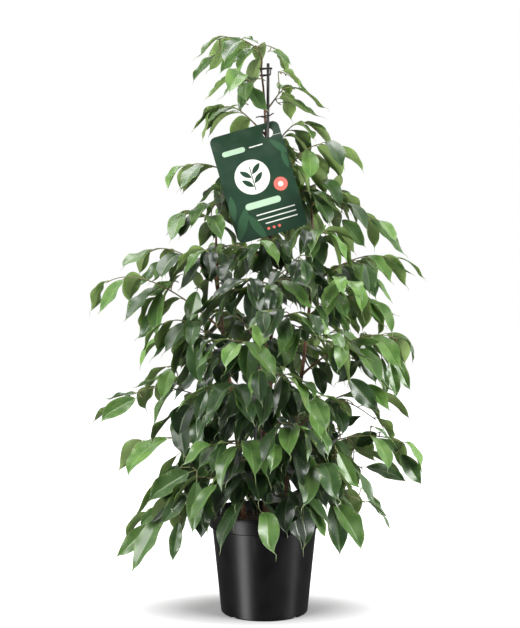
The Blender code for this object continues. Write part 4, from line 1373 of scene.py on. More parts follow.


# Leaves that stand out against the light, one by one. Root, tip and width are in pixels of the camera's
# frame. Facing says how far the upper face turns to the front: 1 all the way, below 0 shows the underside.
# Behind is how far behind its twig the leaf hangs, in metres. Tone is set to how bright each leaf looks, so
# it holds painted light and shade besides the leaf's own colour

shownColumns = ("root", "tip", "width", "facing", "arch", "tone", "behind")
shownLeaves = [
    ((165, 259), (140, 288), 13, 0.6, 0.18, 0.60, 0.010),
    ((176, 281), (147, 297), 14, 0.8, 0.10, 0.75, 0.0),
    ((166, 304), (139, 341), 20, 0.9, 0.08, 0.55, -0.010),
    ((198, 287), (189, 323), 19, 1.0, 0.05, 0.62, -0.020),
    ((208, 331), (174, 369), 25, 0.9, 0.08, 0.08, 0.0),
    ((141, 393), (104, 401), 10, 0.3, 0.12, 0.45, 0.010),
    ((141, 396), (98, 420), 20, 1.0, 0.06, 0.80, -0.010),
    ((172, 374), (133, 389), 8, 0.4, 0.05, 0.60, -0.010),
    ((196, 470), (146, 500), 25, 0.9, 0.10, 0.62, -0.030),
    ((197, 474), (193, 534), 20, 1.0, 0.03, 0.62, -0.040),
    ((190, 492), (161, 524), 19, 0.9, 0.08, 0.50, -0.010),
    ((165, 506), (139, 526), 13, 0.8, 0.12, 0.68, 0.0),
    ((157, 520), (117, 558), 20, 1.0, 0.06, 0.72, -0.010),
    ((180, 516), (172, 562), 15, 0.9, 0.04, 0.55, -0.020),
    ((338, 217), (364, 248), 20, 0.7, 0.14, 0.62, -0.010),
    ((363, 217), (404, 258), 16, 0.6, 0.22, 0.60, 0.0),
    ((372, 258), (412, 276), 9, 0.3, 0.20, 0.62, 0.0),
    ((357, 262), (377, 299), 20, 0.8, 0.12, 0.35, -0.010),
    ((365, 297), (396, 318), 9, 0.5, 0.08, 0.70, 0.0),
    ((362, 337), (376, 384), 24, 1.0, 0.05, 0.50, -0.030),
    ((387, 347), (410, 392), 15, 0.8, 0.12, 0.70, 0.0),
    ((388, 356), (398, 400), 13, 0.9, 0.05, 0.72, -0.012),
    ((381, 352), (387, 399), 10, 0.7, 0.04, 0.62, -0.020),
    ((345, 375), (378, 412), 23, 1.0, 0.06, 0.30, -0.010),
    ((336, 429), (362, 416), 12, 0.6, 0.06, 0.12, 0.0),
    ((380, 432), (356, 448), 17, 0.8, 0.10, 0.30, -0.010),
    ((371, 426), (394, 444), 7, 0.4, 0.20, 0.70, 0.0),
    ((373, 438), (402, 454), 12, 0.7, 0.12, 0.60, -0.005),
    ((398, 451), (421, 485), 19, 1.0, 0.08, 0.55, -0.005),
    ((360, 467), (407, 481), 17, 0.7, 0.14, 0.22, -0.010),
    ((335, 447), (357, 491), 17, 0.9, 0.06, 0.78, -0.020),
    ((333, 493), (341, 556), 23, 1.0, 0.03, 0.50, -0.020),
    ((362, 488), (385, 519), 10, 0.7, 0.10, 0.62, 0.0),
    ((219, 52), (191, 82), 12, 0.6, 0.16, 0.62, 0.0),
    ((247, 46), (219, 74), 14, 0.8, 0.12, 0.70, -0.012),
    ((238, 50), (263, 68), 16, -0.8, 0.06, 0.60, 0.010),
    ((246, 84), (266, 113), 17, 0.8, 0.05, 0.55, 0.020),
    ((250, 81), (239, 112), 12, 0.8, 0.05, 0.50, -0.020),
    ((262, 79), (234, 84), 11, 0.6, 0.10, 0.50, 0.0),
    ((247, 104), (204, 124), 9, 0.35, 0.20, 0.65, 0.0),
    ((285, 74), (309, 96), 8, 0.4, 0.22, 0.68, 0.0),
    ((278, 103), (321, 120), 12, 0.45, 0.25, 0.65, 0.0),
    # Darkened leaves low in the crown and over the rim: painted shade in the gaps
    ((214, 444), (184, 460), 16, 0.8, 0.10, 0.10, 0.010),
    ((233, 410), (222, 446), 18, 0.9, 0.05, 0.08, 0.020),
    ((262, 470), (249, 508), 20, 0.9, 0.05, 0.05, 0.020),
    ((286, 470), (280, 510), 19, 0.9, 0.05, 0.05, 0.020),
    ((303, 518), (262, 527), 14, 0.8, 0.10, 0.14, 0.0),
    ((243, 40), (225, 47), 11, 0.5, 0.35, 0.62, 0.0),
    ((241, 39), (259, 44), 9, 0.5, 0.30, 0.64, 0.0),
    ((269, 51), (291, 66), 12, 0.5, 0.28, 0.66, 0.0),
]

shownRule = dict(
    shares=24,  # places tried along a twig
    shifts=(0.0, -0.008, 0.008, -0.016, 0.016, -0.026, 0.026),  # tried forwards and back for a clear place
    middle=0.42,
    lift=0.30,
    depthCost=0.08,
    directReach=0.004,  # a leaf nearer than this to its twig has no shoot of its own
    twigSpan=(0.1, 1.0),  # where along a twig a leaf may start
    follow=0.6,  # how much a shoot starts along its twig
)


def fromPixel(pixel, depth):
    setup = cameraSetup
    eye = Vector(setup["place"])
    wide, high = setup["frame"]
    scale = (depth - eye.y) * setup["sensor"] / (setup["lens"] * high)
    point = Vector((eye.x + (pixel[0] - wide / 2) * scale, depth, eye.z - (pixel[1] - high / 2) * scale))
    return point, scale


def shownLeaf(seed, row, depth):
    root, scale = fromPixel(row["root"], depth + row["behind"])
    tip, _ = fromPixel(row["tip"], depth + row["behind"])
    length = (tip - root).length
    middle = root.lerp(tip, shownRule["middle"]) + up * row["arch"] * length
    upper = Vector((0.0, -row["facing"], 1.0 - abs(row["facing"]) + shownRule["lift"]))
    across = (tip - root).cross(upper).normalized()
    return dict(curve=(root, middle, tip), across=across, length=length, width=row["width"] * scale,
                seed=seed, tone=row["tone"])


# The place on any twig that is nearest to a leaf's start, the nearer to the camera the better
def nearestTwig(pixel, parts):
    places = []
    start, end = shownRule["twigSpan"]
    for name, held in parts.items():
        for part in held:
            for step in range(shownRule["shares"]):
                share = start + (end - start) * step / (shownRule["shares"] - 1)
                point, _ = onCurve(part, share)
                wanted, _ = fromPixel(pixel, point.y)
                distance = (point - wanted).length
                places.append((distance + shownRule["depthCost"] * point.y, distance, name, part, share))
    return min(places, key=lambda place: place[0])[1:]


def placeShownLeaves(parts, placed):
    leaves = {name: [] for name in parts}
    shoots = {name: [] for name in parts}
    for order, values in enumerate(shownLeaves):
        row = dict(zip(shownColumns, values))
        _, name, part, share = nearestTwig(row["root"], parts)
        point, along = onCurve(part, share)
        choices = [shownLeaf(f"shown {order}", row, point.y + shift) for shift in shownRule["shifts"]]
        choices = [leaf for leaf in choices if not any(map(hidesTag, coarseLeaf(leaf, 0.0)[0]))]
        clear = [leaf for leaf in choices if not touches(boxedTree(*coarseLeaf(leaf, 0.0)), placed)]
        if not clear:
            print("no room for shown leaf", order)
            continue
        leaf = clear[0]
        root = leaf["curve"][0]
        if (root - point).length > shownRule["directReach"]:
            start = (along * shownRule["follow"] + (root - point).normalized()).normalized()
            shoots[name].append(dict(controls=branchCurve(point, root, start), begin=0.0, shares=[1.0]))
        part["shares"].append(share)
        placed.append(boxedTree(*coarseLeaf(leaf, 0.0)))
        leaves[name].append(leaf)
    return leaves, shoots


# Leafy sprays

def slotOf(name):
    if name in youngSprays:
        return "leaf_young"
    return "leaf_deep" if name in deepSprays else "leaf"


def cornersOf(node):
    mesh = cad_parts[node].data
    tree = KDTree(len(mesh.vertices))
    for index, vertex in enumerate(mesh.vertices):
        tree.insert(vertex.co, index)
    tree.balance()
    return tree


def nodeTrees():
    trees = []
    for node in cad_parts.values():
        vertices = [vertex.co.copy() for vertex in node.data.vertices]
        faces = [tuple(face.vertices) for face in node.data.polygons]
        trees.append(boxedTree(vertices, faces))
    return trees


# The leaves that the solids have, moved onto the finer twig
def solidLeaves(name, parts):
    corners = cornersOf("spray_" + name)
    leaves = []
    for partIndex, part in enumerate(parts):
        part["shares"] = []
        for order in range(part["count"]):
            share = leafRule["first"] + (leafRule["last"] - leafRule["first"]) * order / (part["count"] - 1)
            root, along = alongPath(part["points"], share)
            side = 1.0 if (order + partIndex) % 2 else -1.0
            last = order == part["count"] - 1
            leaf = solidLeaf(f"{name} {partIndex} {order}", root, along, side, last, corners)
            if leaf:
                leaf["curve"] = (onCurve(part, share)[0], *leaf["curve"][1:])
                leaves.append(leaf)
                part["shares"].append(share)
        part["shares"] = part["shares"] or [twigForm["bareKnuckle"]]
    return leaves


def makeSprays(curves):
    twigBark = barkMaterial("twigBark")
    finishes = {label: leafMaterial(label) for label in ("leaf", "leaf_young", "leaf_deep")}
    placed = nodeTrees()
    parts = {name: twigParts(name, controls) for name, controls in curves.items()}
    leaves = {name: solidLeaves(name, parts[name]) for name in curves}
    counts = [sum(len(held) for held in leaves.values())]
    shown, sideTwigs = placeShownLeaves(parts, placed)
    for name in curves:
        leaves[name] += shown[name]
    for name, controls in curves.items():
        more, twigs = extraLeaves(name, controls, parts[name], placed)
        leaves[name] += more
        sideTwigs[name] += twigs
    counts.append(sum(len(held) for held in leaves.values()) - counts[0])
    markFreshLeaves([leaf for held in leaves.values() for leaf in held])
    for name in curves:
        build = Build()
        for index, part in enumerate(parts[name] + sideTwigs[name]):
            points, faces, values = twigBody(part, twigForm["forkStart" if index else "start"])
            build.add(points, faces, 1, **values)
        for leaf in leaves[name]:
            points, values = leafBody(leaf)
            build.add(points, leafFaceList, 0, tone=leafTone(leaf, slotOf(name)), **values)
        piece = build.finish("leafy_" + name, [finishes[slotOf(name)], twigBark])
        settle(piece, slotOf(name), "spray_" + name)
    print("sprays done:", len(curves), "with", counts[0], "leaves of the solids and", counts[1], "more")


# Stems with their woody branches

stemForm = dict(
    sides=14,
    steps=10,
    branchSides=8,
    branchRings=9,
    branchStart=0.88,  # of the solids' branch
    branchEnd=0.0016,
    branchYoung=0.15,
    collar=0.35,  # how much thicker a branch is where it leaves its stem
    collarReach=0.16,
    scarEvery=0.027,
    scarHeight=0.055,
    scarReach=0.09,
    scarShake=(20.0, 0.4),  # scale and amount
    lump=0.06,
    lumpScale=45.0,
    knots=(160.0, 0.8),
)


def stemRadius(name, path, height):
    start, end = stems[name]["radii"]
    share = (height - path[0].z) / (path[-1].z - path[0].z)
    return start + (end - start) * share


def stemBody(name, path):
    form = stemForm
    shakeScale, shake = form["scarShake"]
    radii = []
    scars = []
    for point in path:
        place = (point.z / form["scarEvery"] + noise.noise(point * shakeScale) * shake) % 1.0
        scar = math.exp(-((place - 0.5) / form["scarReach"]) ** 2)
        scars.append(scar)
        lump = form["lump"] * noise.noise(point * form["lumpScale"])
        radii.append(stemRadius(name, path, point.z) * (1.0 + form["scarHeight"] * scar + lump))
    points, faces = tube(path, radii, form["sides"])
    knotScale, knot = form["knots"]
    for index, point in enumerate(points):
        centre = path[index // form["sides"]]
        shift = noise.noise(Vector(point) * knotScale) * form["lump"] * knot
        points[index] = tuple(centre + (Vector(point) - centre) * (1.0 + shift))
    return points, faces, np.repeat(scars, form["sides"])


def branchBody(controls):
    form = stemForm
    points = stretchOf(controls, 0.0, branching["woodyShare"], form["branchRings"])
    start = branching["branchRadius"] * form["branchStart"]
    radii = []
    young = []
    for index in range(form["branchRings"]):
        place = index / (form["branchRings"] - 1)
        radius = start + (form["branchEnd"] - start) * place
        radii.append(radius * (1.0 + form["collar"] * math.exp(-(place / form["collarReach"]) ** 2)))
        young.append(form["branchYoung"] * place)
    vertices, faces = tube(points, radii, form["branchSides"])
    return vertices, faces, np.repeat(young, form["branchSides"])


def makeStems(curves):
    bark = barkMaterial("stemBark")
    for name, stem in stems.items():
        path = smoothPath(stem["points"], stemForm["steps"])
        build = Build()
        points, faces, scars = stemBody(name, path)
        build.add(points, faces, scar=scars, young=0.0)
        for spray, controls in curves.items():
            if sprays[spray]["stem"] == name and sprays[spray]["height"] is not None:
                points, faces, young = branchBody(controls)
                build.add(points, faces, young=young, scar=0.0)
        settle(build.finish("wood_" + name, [bark]), "stem", "stem_" + name)
    print("stems done:", len(stems))


# Pot

potForm = dict(
    height=0.183,
    lip=0.105,
    band=0.1025,
    bandFoot=0.1005,
    bandDepth=0.028,
    bandStep=0.002,
    bandRound=0.001,
    bandRise=0.0008,
    bandNeck=(0.0002, 0.0015),  # how far in and how far down the band ends under the lip
    shoulder=(0.0012, 0.75),  # its reach outwards, and its drop for each 1 of the band's step
    innerStep=0.003,
    lipDepth=0.005,
    mouthRound=0.0012,
    mouthInset=0.0004,
    wallTop=0.095,
    wallRings=(0.06, 0.5, 0.94),
    wallFill=1.02,  # how much fuller than straight the wall is
    base=0.079,
    footRound=0.003,
    hollow=0.0015,
    hollowEdge=(0.55, 0.58),  # of the base's radius
    wall=0.0022,
    floor=0.003,
    footArc=(-90, 0, 5),  # of the profile, in degrees from the outward way, with its steps
    bandArc=(-70, 0, 4),
    lipArc=(-95, 90, 9),
    mouthArc=(80, 0, 3),
    sharp=42.0,
    sides=144,
    notches=4,
    notchSize=(0.012, 0.014, 0.009),  # along the foot, inwards, up
    notchRound=0.0025,
    notchSteps=4,
)


def potProfile():
    form = potForm
    base, top, wallTop, footRound = form["base"], form["height"], form["wallTop"], form["footRound"]
    foot = top - form["bandDepth"]
    bead = form["lipDepth"] / 2
    lean = (wallTop - base) / foot
    hollowStart, hollowEnd = [base * share for share in form["hollowEdge"]]
    profile = [(0.0, form["hollow"]), (hollowStart, form["hollow"]), (hollowEnd, 0.0)]
    profile += arcOf((base - footRound, footRound), footRound, *form["footArc"])
    for share in form["wallRings"]:
        height = footRound + (foot - footRound) * share
        profile.append((base + lean * (height - footRound) * form["wallFill"], height))
    out, drop = form["shoulder"]
    profile.append((wallTop, foot - form["bandStep"]))
    profile.append((wallTop + out, foot - form["bandStep"] * drop))
    corner = (form["bandFoot"] - form["bandRound"], foot + form["bandRise"])
    profile += arcOf(corner, form["bandRound"], *form["bandArc"])
    neckIn, neckDown = form["bandNeck"]
    profile.append((form["band"] - neckIn, top - form["lipDepth"] - neckDown))
    profile += arcOf((form["lip"] - bead, top - bead), bead, *form["lipArc"])
    mouth = (form["band"] - form["wall"] - form["mouthInset"], top - form["mouthRound"])
    profile += arcOf(mouth, form["mouthRound"], *form["mouthArc"])[1:]
    profile += [
        (form["bandFoot"] - form["wall"], foot + form["bandStep"]),
        (wallTop - form["wall"], foot - form["innerStep"]),
        (base - form["wall"], form["floor"]),
        (0.0, form["floor"]),
    ]
    return profile


# A closed turned body from a profile that starts and ends on the axis
def turned(profile, sides):
    vertices = [(0.0, 0.0, profile[0][1]), (0.0, 0.0, profile[-1][1])]
    rings = profile[1:-1]
    for radius, height in rings:
        for side in range(sides):
            angle = 2 * math.pi * side / sides
            vertices.append((radius * math.cos(angle), radius * math.sin(angle), height))
    faces = []
    top = 2 + (len(rings) - 1) * sides
    for side in range(sides):
        after = (side + 1) % sides
        faces.append((0, 2 + after, 2 + side))
        for ring in range(len(rings) - 1):
            a = 2 + ring * sides
            faces.append((a + side, a + after, a + sides + after, a + sides + side))
        faces.append((1, top + side, top + after))
    return vertices, faces


# A block that cuts one notch through the foot, with its upper edges rounded
def notchTool(turn):
    form = potForm
    work = bmesh.new()
    bmesh.ops.create_cube(work, size=1.0)
    along, inward, high = form["notchSize"]
    bmesh.ops.scale(work, vec=(inward, along, high), verts=work.verts)
    upper = [edge for edge in work.edges if all(corner.co.z > 0 for corner in edge.verts)]
    inwards = [edge for edge in upper if edge.verts[0].co.y == edge.verts[1].co.y]
    bmesh.ops.bevel(work, geom=inwards, offset=form["notchRound"], segments=form["notchSteps"],
                    affect="EDGES")
    place = (form["base"] * math.cos(turn), form["base"] * math.sin(turn), 0.0)
    work.transform(Matrix.Translation(place) @ Matrix.Rotation(turn, 4, "Z"))
    return addObject("notch", meshOf(work, "notch"))


def cutNotches(pot):
    count = potForm["notches"]
    tools = [notchTool(2 * math.pi * (index + 0.5) / count) for index in range(count)]
    for tool in tools:
        cut = pot.modifiers.new("notch", "BOOLEAN")
        cut.operation = "DIFFERENCE"
        cut.solver = "EXACT"
        cut.object = tool
    graph = bpy.context.evaluated_depsgraph_get()
    mesh = bpy.data.meshes.new_from_object(pot.evaluated_get(graph))
    pot.modifiers.clear()
    pot.data = mesh
    for tool in tools:
        bpy.data.objects.remove(tool, do_unlink=True)
    smoothBelow(mesh, potForm["sharp"])


def potMaterial():
    material, tree, shader = newMaterial("potPlastic", specular=0.40)
    tint = placeGroup(tree, "mottle", base=(0.0030, 0.0030, 0.0036), other=(0.0065, 0.0065, 0.0072),
                      scale=26.0, amount=0.8)
    dust = placeGroup(tree, "dustFilm", base=tint["Colour"], dust=(0.10, 0.09, 0.08), amount=0.06,
                      roughness=0.33)
    grain = placeGroup(tree, "fineGrain", coarse=240.0, fine=1700.0, balance=0.55)
    streaks = noiseOf(tree, 90.0, detail=5.0, stretch=(1.0, 1.0, 0.12))
    scuff = rangeOf(tree, streaks, start=0.58, end=0.78, high=0.10)
    rough = plus(tree, dust["Roughness"], scuff)
    dress(tree, shader, dust["Colour"], rough, grain["Value"], strength=0.16, distance=0.0003)
    return material


def makePot():
    build = Build()
    build.add(*turned(potProfile(), potForm["sides"]))
    pot = build.finish("nursery_pot", [potMaterial()])
    cutNotches(pot)
    settle(pot, "pot", "pot")
    print("pot done:", len(pot.data.polygons), "faces")


# Soil: a lumpy top with bark chips and grit, over the root ball's plain sides

soilForm = dict(
    level=0.166,
    edge=0.0975,
    rings=26,
    sides=96,
    lumps=(42.0, 0.0022),  # scale and height
    crumbs=(170.0, 0.0010),
    sink=0.001,
    rimDrop=0.003,
    rimFrom=0.86,  # of the radius, where the top starts to fall to the pot's wall
    edgeGap=0.0004,
    chips=420,
    chipSize=(0.0016, 0.0062),
    chipWide=(0.35, 0.8),  # for each 1 of its length
    chipThick=(0.18, 0.5),
    chipRough=(0.72, 1.15),
    chipRise=0.35,
    chipTilt=0.35,
    chipMargin=0.008,
    kinds=(0.1, 0.9),  # least value of a chip's kind, and its spread
    clearance=0.0010,
)


def soilHeight(x, y):
    form = soilForm
    point = Vector((x, y, 0.0))
    rise = sum(noise.noise(point * scale) * high for scale, high in (form["lumps"], form["crumbs"]))
    fall = (point.length / form["edge"] - form["rimFrom"]) / (1.0 - form["rimFrom"])
    return form["level"] - form["sink"] + rise - form["rimDrop"] * max(0.0, fall)


def soilBody():
    form = soilForm
    pot = potForm
    foot = pot["height"] - pot["bandDepth"]
    profile = [
        (0.0, pot["floor"] + gap),
        (pot["base"] - pot["wall"] - form["clearance"], pot["floor"] + gap),
        (pot["wallTop"] - pot["wall"] - form["clearance"], foot - pot["innerStep"]),
        (form["edge"] - form["edgeGap"], foot + 2 * pot["bandStep"]),
    ]
    top = [(form["edge"] * (1.0 - i / form["rings"]), form["level"]) for i in range(form["rings"])]
    vertices, faces = turned(profile + top + [(0.0, form["level"])], form["sides"])
    raised = []
    for x, y, z in vertices:
        raised.append((x, y, soilHeight(x, y)) if z >= form["level"] else (x, y, z))
    return raised, faces


def chipBody(draw):
    form = soilForm
    size = draw.uniform(*form["chipSize"])
    shape = Vector((1.0, draw.uniform(*form["chipWide"]), draw.uniform(*form["chipThick"]))) * size / 2
    distance = math.sqrt(draw.random()) * (form["edge"] - form["chipMargin"])
    angle = draw.uniform(0.0, 2 * math.pi)
    x, y = distance * math.cos(angle), distance * math.sin(angle)
    place = Vector((x, y, soilHeight(x, y) + shape.z * form["chipRise"]))
    tiltX, tiltY = [draw.gauss(0.0, form["chipTilt"]) for _ in range(2)]
    turn = Matrix.Rotation(draw.uniform(0.0, 2 * math.pi), 3, "Z")
    turn = turn @ Matrix.Rotation(tiltX, 3, "X") @ Matrix.Rotation(tiltY, 3, "Y")
    work = bmesh.new()
    bmesh.ops.create_icosphere(work, subdivisions=1, radius=1.0)
    points = []
    for vertex in work.verts:
        rough = vertex.co * draw.uniform(*form["chipRough"])
        points.append(tuple(place + turn @ Vector((rough.x * shape.x, rough.y * shape.y, rough.z * shape.z))))
    faces = [tuple(corner.index for corner in face.verts) for face in work.faces]
    work.free()
    return points, faces, draw.random()


def soilMaterial():
    material, tree, shader = newMaterial("pottingMix", specular=0.25)
    tint = placeGroup(tree, "mottle", base=(0.018, 0.011, 0.007), other=(0.050, 0.030, 0.018), scale=210.0,
                      amount=0.8)
    kind = attributeOf(tree, "kind")
    isBark = rangeOf(tree, kind, start=0.05, end=0.6)
    isGrit = rangeOf(tree, kind, start=0.90, end=0.94)
    bark = mixOf(tree, isBark, first=tint["Colour"], second=(0.095, 0.052, 0.028))
    grit = mixOf(tree, isGrit, first=bark, second=(0.42, 0.39, 0.34))
    grain = placeGroup(tree, "fineGrain", coarse=350.0, fine=1400.0, balance=0.4)
    rough = rangeOf(tree, grain["Value"], 0.0, 1.0, low=0.82, high=0.97, smooth=False)
    dress(tree, shader, grit, rough, grain["Value"], strength=0.9, distance=0.0012)
    return material


def makeSoil():
    draw = random.Random("potting mix")
    build = Build()
    build.add(*soilBody(), kind=0.0)
    least, spread = soilForm["kinds"]
    for _ in range(soilForm["chips"]):
        points, faces, kind = chipBody(draw)
        build.add(points, faces, kind=least + spread * kind)
    settle(build.finish("potting_mix", [soilMaterial()], sharp=35.0), "soil", "soil")
    print("soil done")


# Cane and ties

caneForm = dict(
    points=[
        (-0.0240, 0.000, 0.1000), (-0.0215, 0.000, 0.1730), (-0.0084, 0.000, 0.5656),
        (0.0045, 0.000, 0.8000), (0.0062, 0.000, 0.8706), (0.0068, 0.000, 0.9965),
    ],
    radius=0.00275,
    sides=24,
    steps=12,
    chamfer=0.0012,
    chamferSteps=((0.5, 0.96), (0.85, 0.80), (1.0, 0.58)),  # shares of the chamfer and of the radius
    ridge=0.00006,
    ridgeTurns=900.0,  # in radians for each metre
)


def caneMaterial():
    material, tree, shader = newMaterial("caneCoat", specular=0.45)
    tint = placeGroup(tree, "mottle", base=(0.012, 0.011, 0.011), other=(0.030, 0.026, 0.022), scale=70.0,
                      amount=0.7)
    dust = placeGroup(tree, "dustFilm", base=tint["Colour"], dust=(0.16, 0.14, 0.12), amount=0.3,
                      roughness=0.40)
    grooves = noiseOf(tree, 700.0, detail=3.0, stretch=(1.0, 1.0, 0.04))
    dress(tree, shader, dust["Colour"], dust["Roughness"], grooves, strength=0.4, distance=0.0003)
    return material


def makeCane():
    form = caneForm
    path = smoothPath(form["points"], form["steps"])
    end = path[-1]
    way = (path[-1] - path[-2]).normalized()
    radii = [form["radius"] + form["ridge"] * math.sin(point.z * form["ridgeTurns"]) for point in path]
    path += [end + way * form["chamfer"] * along for along, _ in form["chamferSteps"]]
    radii += [form["radius"] * share for _, share in form["chamferSteps"]]
    build = Build()
    build.add(*tube(path, radii, form["sides"]))
    settle(build.finish("support_cane", [caneMaterial()], sharp=40.0), "cane", "cane")
    print("cane done")


tieForm = dict(
    radius=0.0011,
    topHeights=(0.9885, 0.9765),
    topBow=(0.0006, -0.0004, 0.0),
    lowHeight=0.9020,
    loopSlope=0.0006,
    knotRadius=0.0026,
    knotOffset=(0.0012, 0.0, -0.0004),
    knotSteps=36,
    knotWide=0.26,  # for each 1 of its radius
    knotDeep=0.45,
    knotStrand=0.85,  # of the tie's thickness
    lowTail=[(0.0, 0.0, 0.0), (-0.0060, -0.0040, 0.0), (-0.0135, -0.0050, -0.0020)],
    lowEnd=(0.0065, -0.0020, 0.0035),
    lowSag=0.0006,
    loopSteps=14,
    tailSteps=6,
    sides=10,
)


def tieMaterial():
    material, tree, shader = newMaterial("softTie", specular=0.4)
    dust = placeGroup(tree, "dustFilm", base=(0.010, 0.010, 0.010), dust=(0.12, 0.11, 0.10), amount=0.35,
                      roughness=0.48)
    grain = placeGroup(tree, "fineGrain", coarse=500.0, fine=2600.0, balance=0.5)
    dress(tree, shader, dust["Colour"], dust["Roughness"], grain["Value"], strength=0.4,
          distance=0.0002)
    return material


# A level loop drawn tight round two upright rods, each a centre and a radius
def loopRound(first, second):
    (a, ra), (b, rb) = first, second
    line = flat(b - a).normalized()
    beside = Vector((-line.y, line.x, 0.0))
    steps = tieForm["loopSteps"]
    points = []
    for centre, radius, start in ((b, rb, -math.pi / 2), (a, ra, math.pi / 2)):
        for step in range(steps + 1):
            angle = start + math.pi * step / steps
            spoke = line * math.cos(angle) + beside * math.sin(angle)
            slope = up * tieForm["loopSlope"] * math.cos(angle + start)
            points.append(centre + slope + spoke * (radius + gap + tieForm["radius"]))
    return points


def ringTube(points, radius, sides):
    count = len(points)
    vertices = []
    for index, point in enumerate(points):
        along = (points[(index + 1) % count] - points[index - 1]).normalized()
        outward = along.cross(up).normalized()
        for side in range(sides):
            angle = 2 * math.pi * side / sides
            vertices.append(tuple(point + outward * math.cos(angle) * radius + up * math.sin(angle) * radius))
    faces = []
    for ring in range(count):
        after = (ring + 1) % count
        for side in range(sides):
            beside = (side + 1) % sides
            faces.append((ring * sides + side, ring * sides + beside,
                          after * sides + beside, after * sides + side))
    return vertices, faces


# A small overhand knot: one strand wound over itself
def knotBody(centre):
    form = tieForm
    wide = form["knotRadius"] * form["knotWide"]
    deep = form["knotRadius"] * form["knotDeep"]
    points = []
    for step in range(form["knotSteps"]):
        angle = 2 * math.pi * step / form["knotSteps"]
        across = (math.sin(angle) + 2 * math.sin(2 * angle)) * wide
        back = (math.cos(angle) - 2 * math.cos(2 * angle)) * wide
        points.append(centre + Vector((across, back, -math.sin(3 * angle) * deep)))
    return ringTube(points, form["radius"] * form["knotStrand"], form["sides"])


def tail(points):
    path = smoothPath(points, tieForm["tailSteps"])
    return tube(path, [tieForm["radius"]] * len(path), tieForm["sides"])


def tieLoop(height, stemPath, canePath):
    stemPoint = pointAtHeight(stemPath, height)
    canePoint = pointAtHeight(canePath, height)
    return loopRound((stemPoint, stemRadius("main", stemPath, height)), (canePoint, caneForm["radius"]))


def makeTies(stemPath, canePath):
    form = tieForm
    rubber = tieMaterial()
    knotOffset = Vector(form["knotOffset"])
    loops = [tieLoop(height, stemPath, canePath) for height in form["topHeights"]]
    above, below = [max(loop, key=lambda p: p.x) for loop in loops]
    build = Build()
    for loop in loops:
        build.add(*ringTube(loop, form["radius"], form["sides"]))
    build.add(*tail([above, (above + below) / 2 + Vector(form["topBow"]), below]))
    build.add(*knotBody(above + knotOffset))
    settle(build.finish("soft_tie_top", [rubber], sharp=60.0), "tie", "tie_top")

    loop = tieLoop(form["lowHeight"], stemPath, canePath)
    right = max(loop, key=lambda p: p.x)
    left = min(loop, key=lambda p: p.x)
    build = Build()
    build.add(*ringTube(loop, form["radius"], form["sides"]))
    build.add(*knotBody(left - knotOffset))
    build.add(*tail([left + Vector(step) for step in form["lowTail"]]))
    lowEnd = Vector(form["lowEnd"])
    build.add(*tail([right, right + lowEnd * 0.5 + up * form["lowSag"], right + lowEnd]))
    settle(build.finish("soft_tie_low", [rubber], sharp=60.0), "tie", "tie_low")
    print("ties done")


# Hang tag: a bent card with a plain print of simple shapes

tagSetup = dict(
    left=0.107,
    right=0.0235,
    above=0.0205,
    below=0.183,
    corner=0.012,
    thickness=0.0009,
    holeRadius=0.0095,
    slit=0.0008,
    slitDrop=0.7,
    tilt=math.radians(16.0),
    centre=(0.0062, 0.0, 0.8706),
    steep=math.radians(25.0),
    slack=math.radians(3.0),
    bendStart=0.012,
    bendEnd=0.072,
    bends=24,
    margin=0.006,
    bow=0.0012,  # the card's slight curve across
    bowCentre=-0.042,
    bowHalf=0.065,
    bowLevel=0.5,
    bowDepth=0.09,  # where the curve has reached its full height
    sharp=30.0,
    cornerSteps=9,
    holeSteps=40,
    fineRows=(1, 28, 0.003),  # cuts across the card: first, end and spacing, closer where it bends
    wideRows=(8, 0.088, 0.012),  # count, first depth and spacing below those
    columns=(12, -0.100, 0.010),
)


def tagLean(depth):
    setup = tagSetup
    if depth <= setup["bendStart"]:
        return depth * math.tan(setup["steep"])
    forward = setup["bendStart"] * math.tan(setup["steep"])
    row = (setup["bendEnd"] - setup["bendStart"]) / setup["bends"]
    for bend in range(setup["bends"]):
        share = (bend + 1) / (setup["bends"] + 1)
        slope = math.tan(setup["steep"] + (setup["slack"] - setup["steep"]) * share)
        start = setup["bendStart"] + bend * row
        forward += slope * min(max(depth - start, 0.0), row)
    return forward + math.tan(setup["slack"]) * max(depth - setup["bendEnd"], 0.0)


def hidesTag(point):
    setup = tagSetup
    local = Matrix.Rotation(setup["tilt"], 4, "Y") @ (point - Vector(setup["centre"]))
    margin = setup["margin"]
    across = -setup["left"] - margin < local.x < setup["right"] + margin
    down = -setup["below"] - margin < local.z < setup["above"] + margin
    return across and down and local.y < margin - tagLean(-local.z)


def tagOutline():
    setup = tagSetup
    inset = setup["corner"]
    left = inset - setup["left"]
    right = setup["right"] - inset
    top = setup["above"] - inset
    bottom = inset - setup["below"]
    slit = -setup["slitDrop"] * setup["holeRadius"]
    high = slit + setup["slit"] / 2
    low = slit - setup["slit"] / 2
    outline = [(setup["right"], low)]
    corners = ((right, bottom, 0), (left, bottom, -90), (left, top, 180), (right, top, 90))
    for x, z, start in corners:
        outline += arcOf((x, z), inset, start, start - 90, setup["cornerSteps"])
    outline.append((setup["right"], high))
    start = math.degrees(math.asin(high / setup["holeRadius"]))
    end = math.degrees(math.asin(low / setup["holeRadius"])) + 360
    return outline + arcOf((0.0, 0.0), setup["holeRadius"], start, end, setup["holeSteps"])


# How far a point of the card is from a shape's middle, along the shape and across it
def printPlace(group, given):
    dx = minus(group, given["X"], given["CentreX"])
    dz = minus(group, given["Z"], given["CentreZ"])
    cosine = mathOf(group, "COSINE", given["Turn"])
    sine = mathOf(group, "SINE", given["Turn"])
    along = plus(group, times(group, dx, cosine), times(group, dz, sine))
    across = minus(group, times(group, dz, cosine), times(group, dx, sine))
    return mathOf(group, "ABSOLUTE", along), mathOf(group, "ABSOLUTE", across)


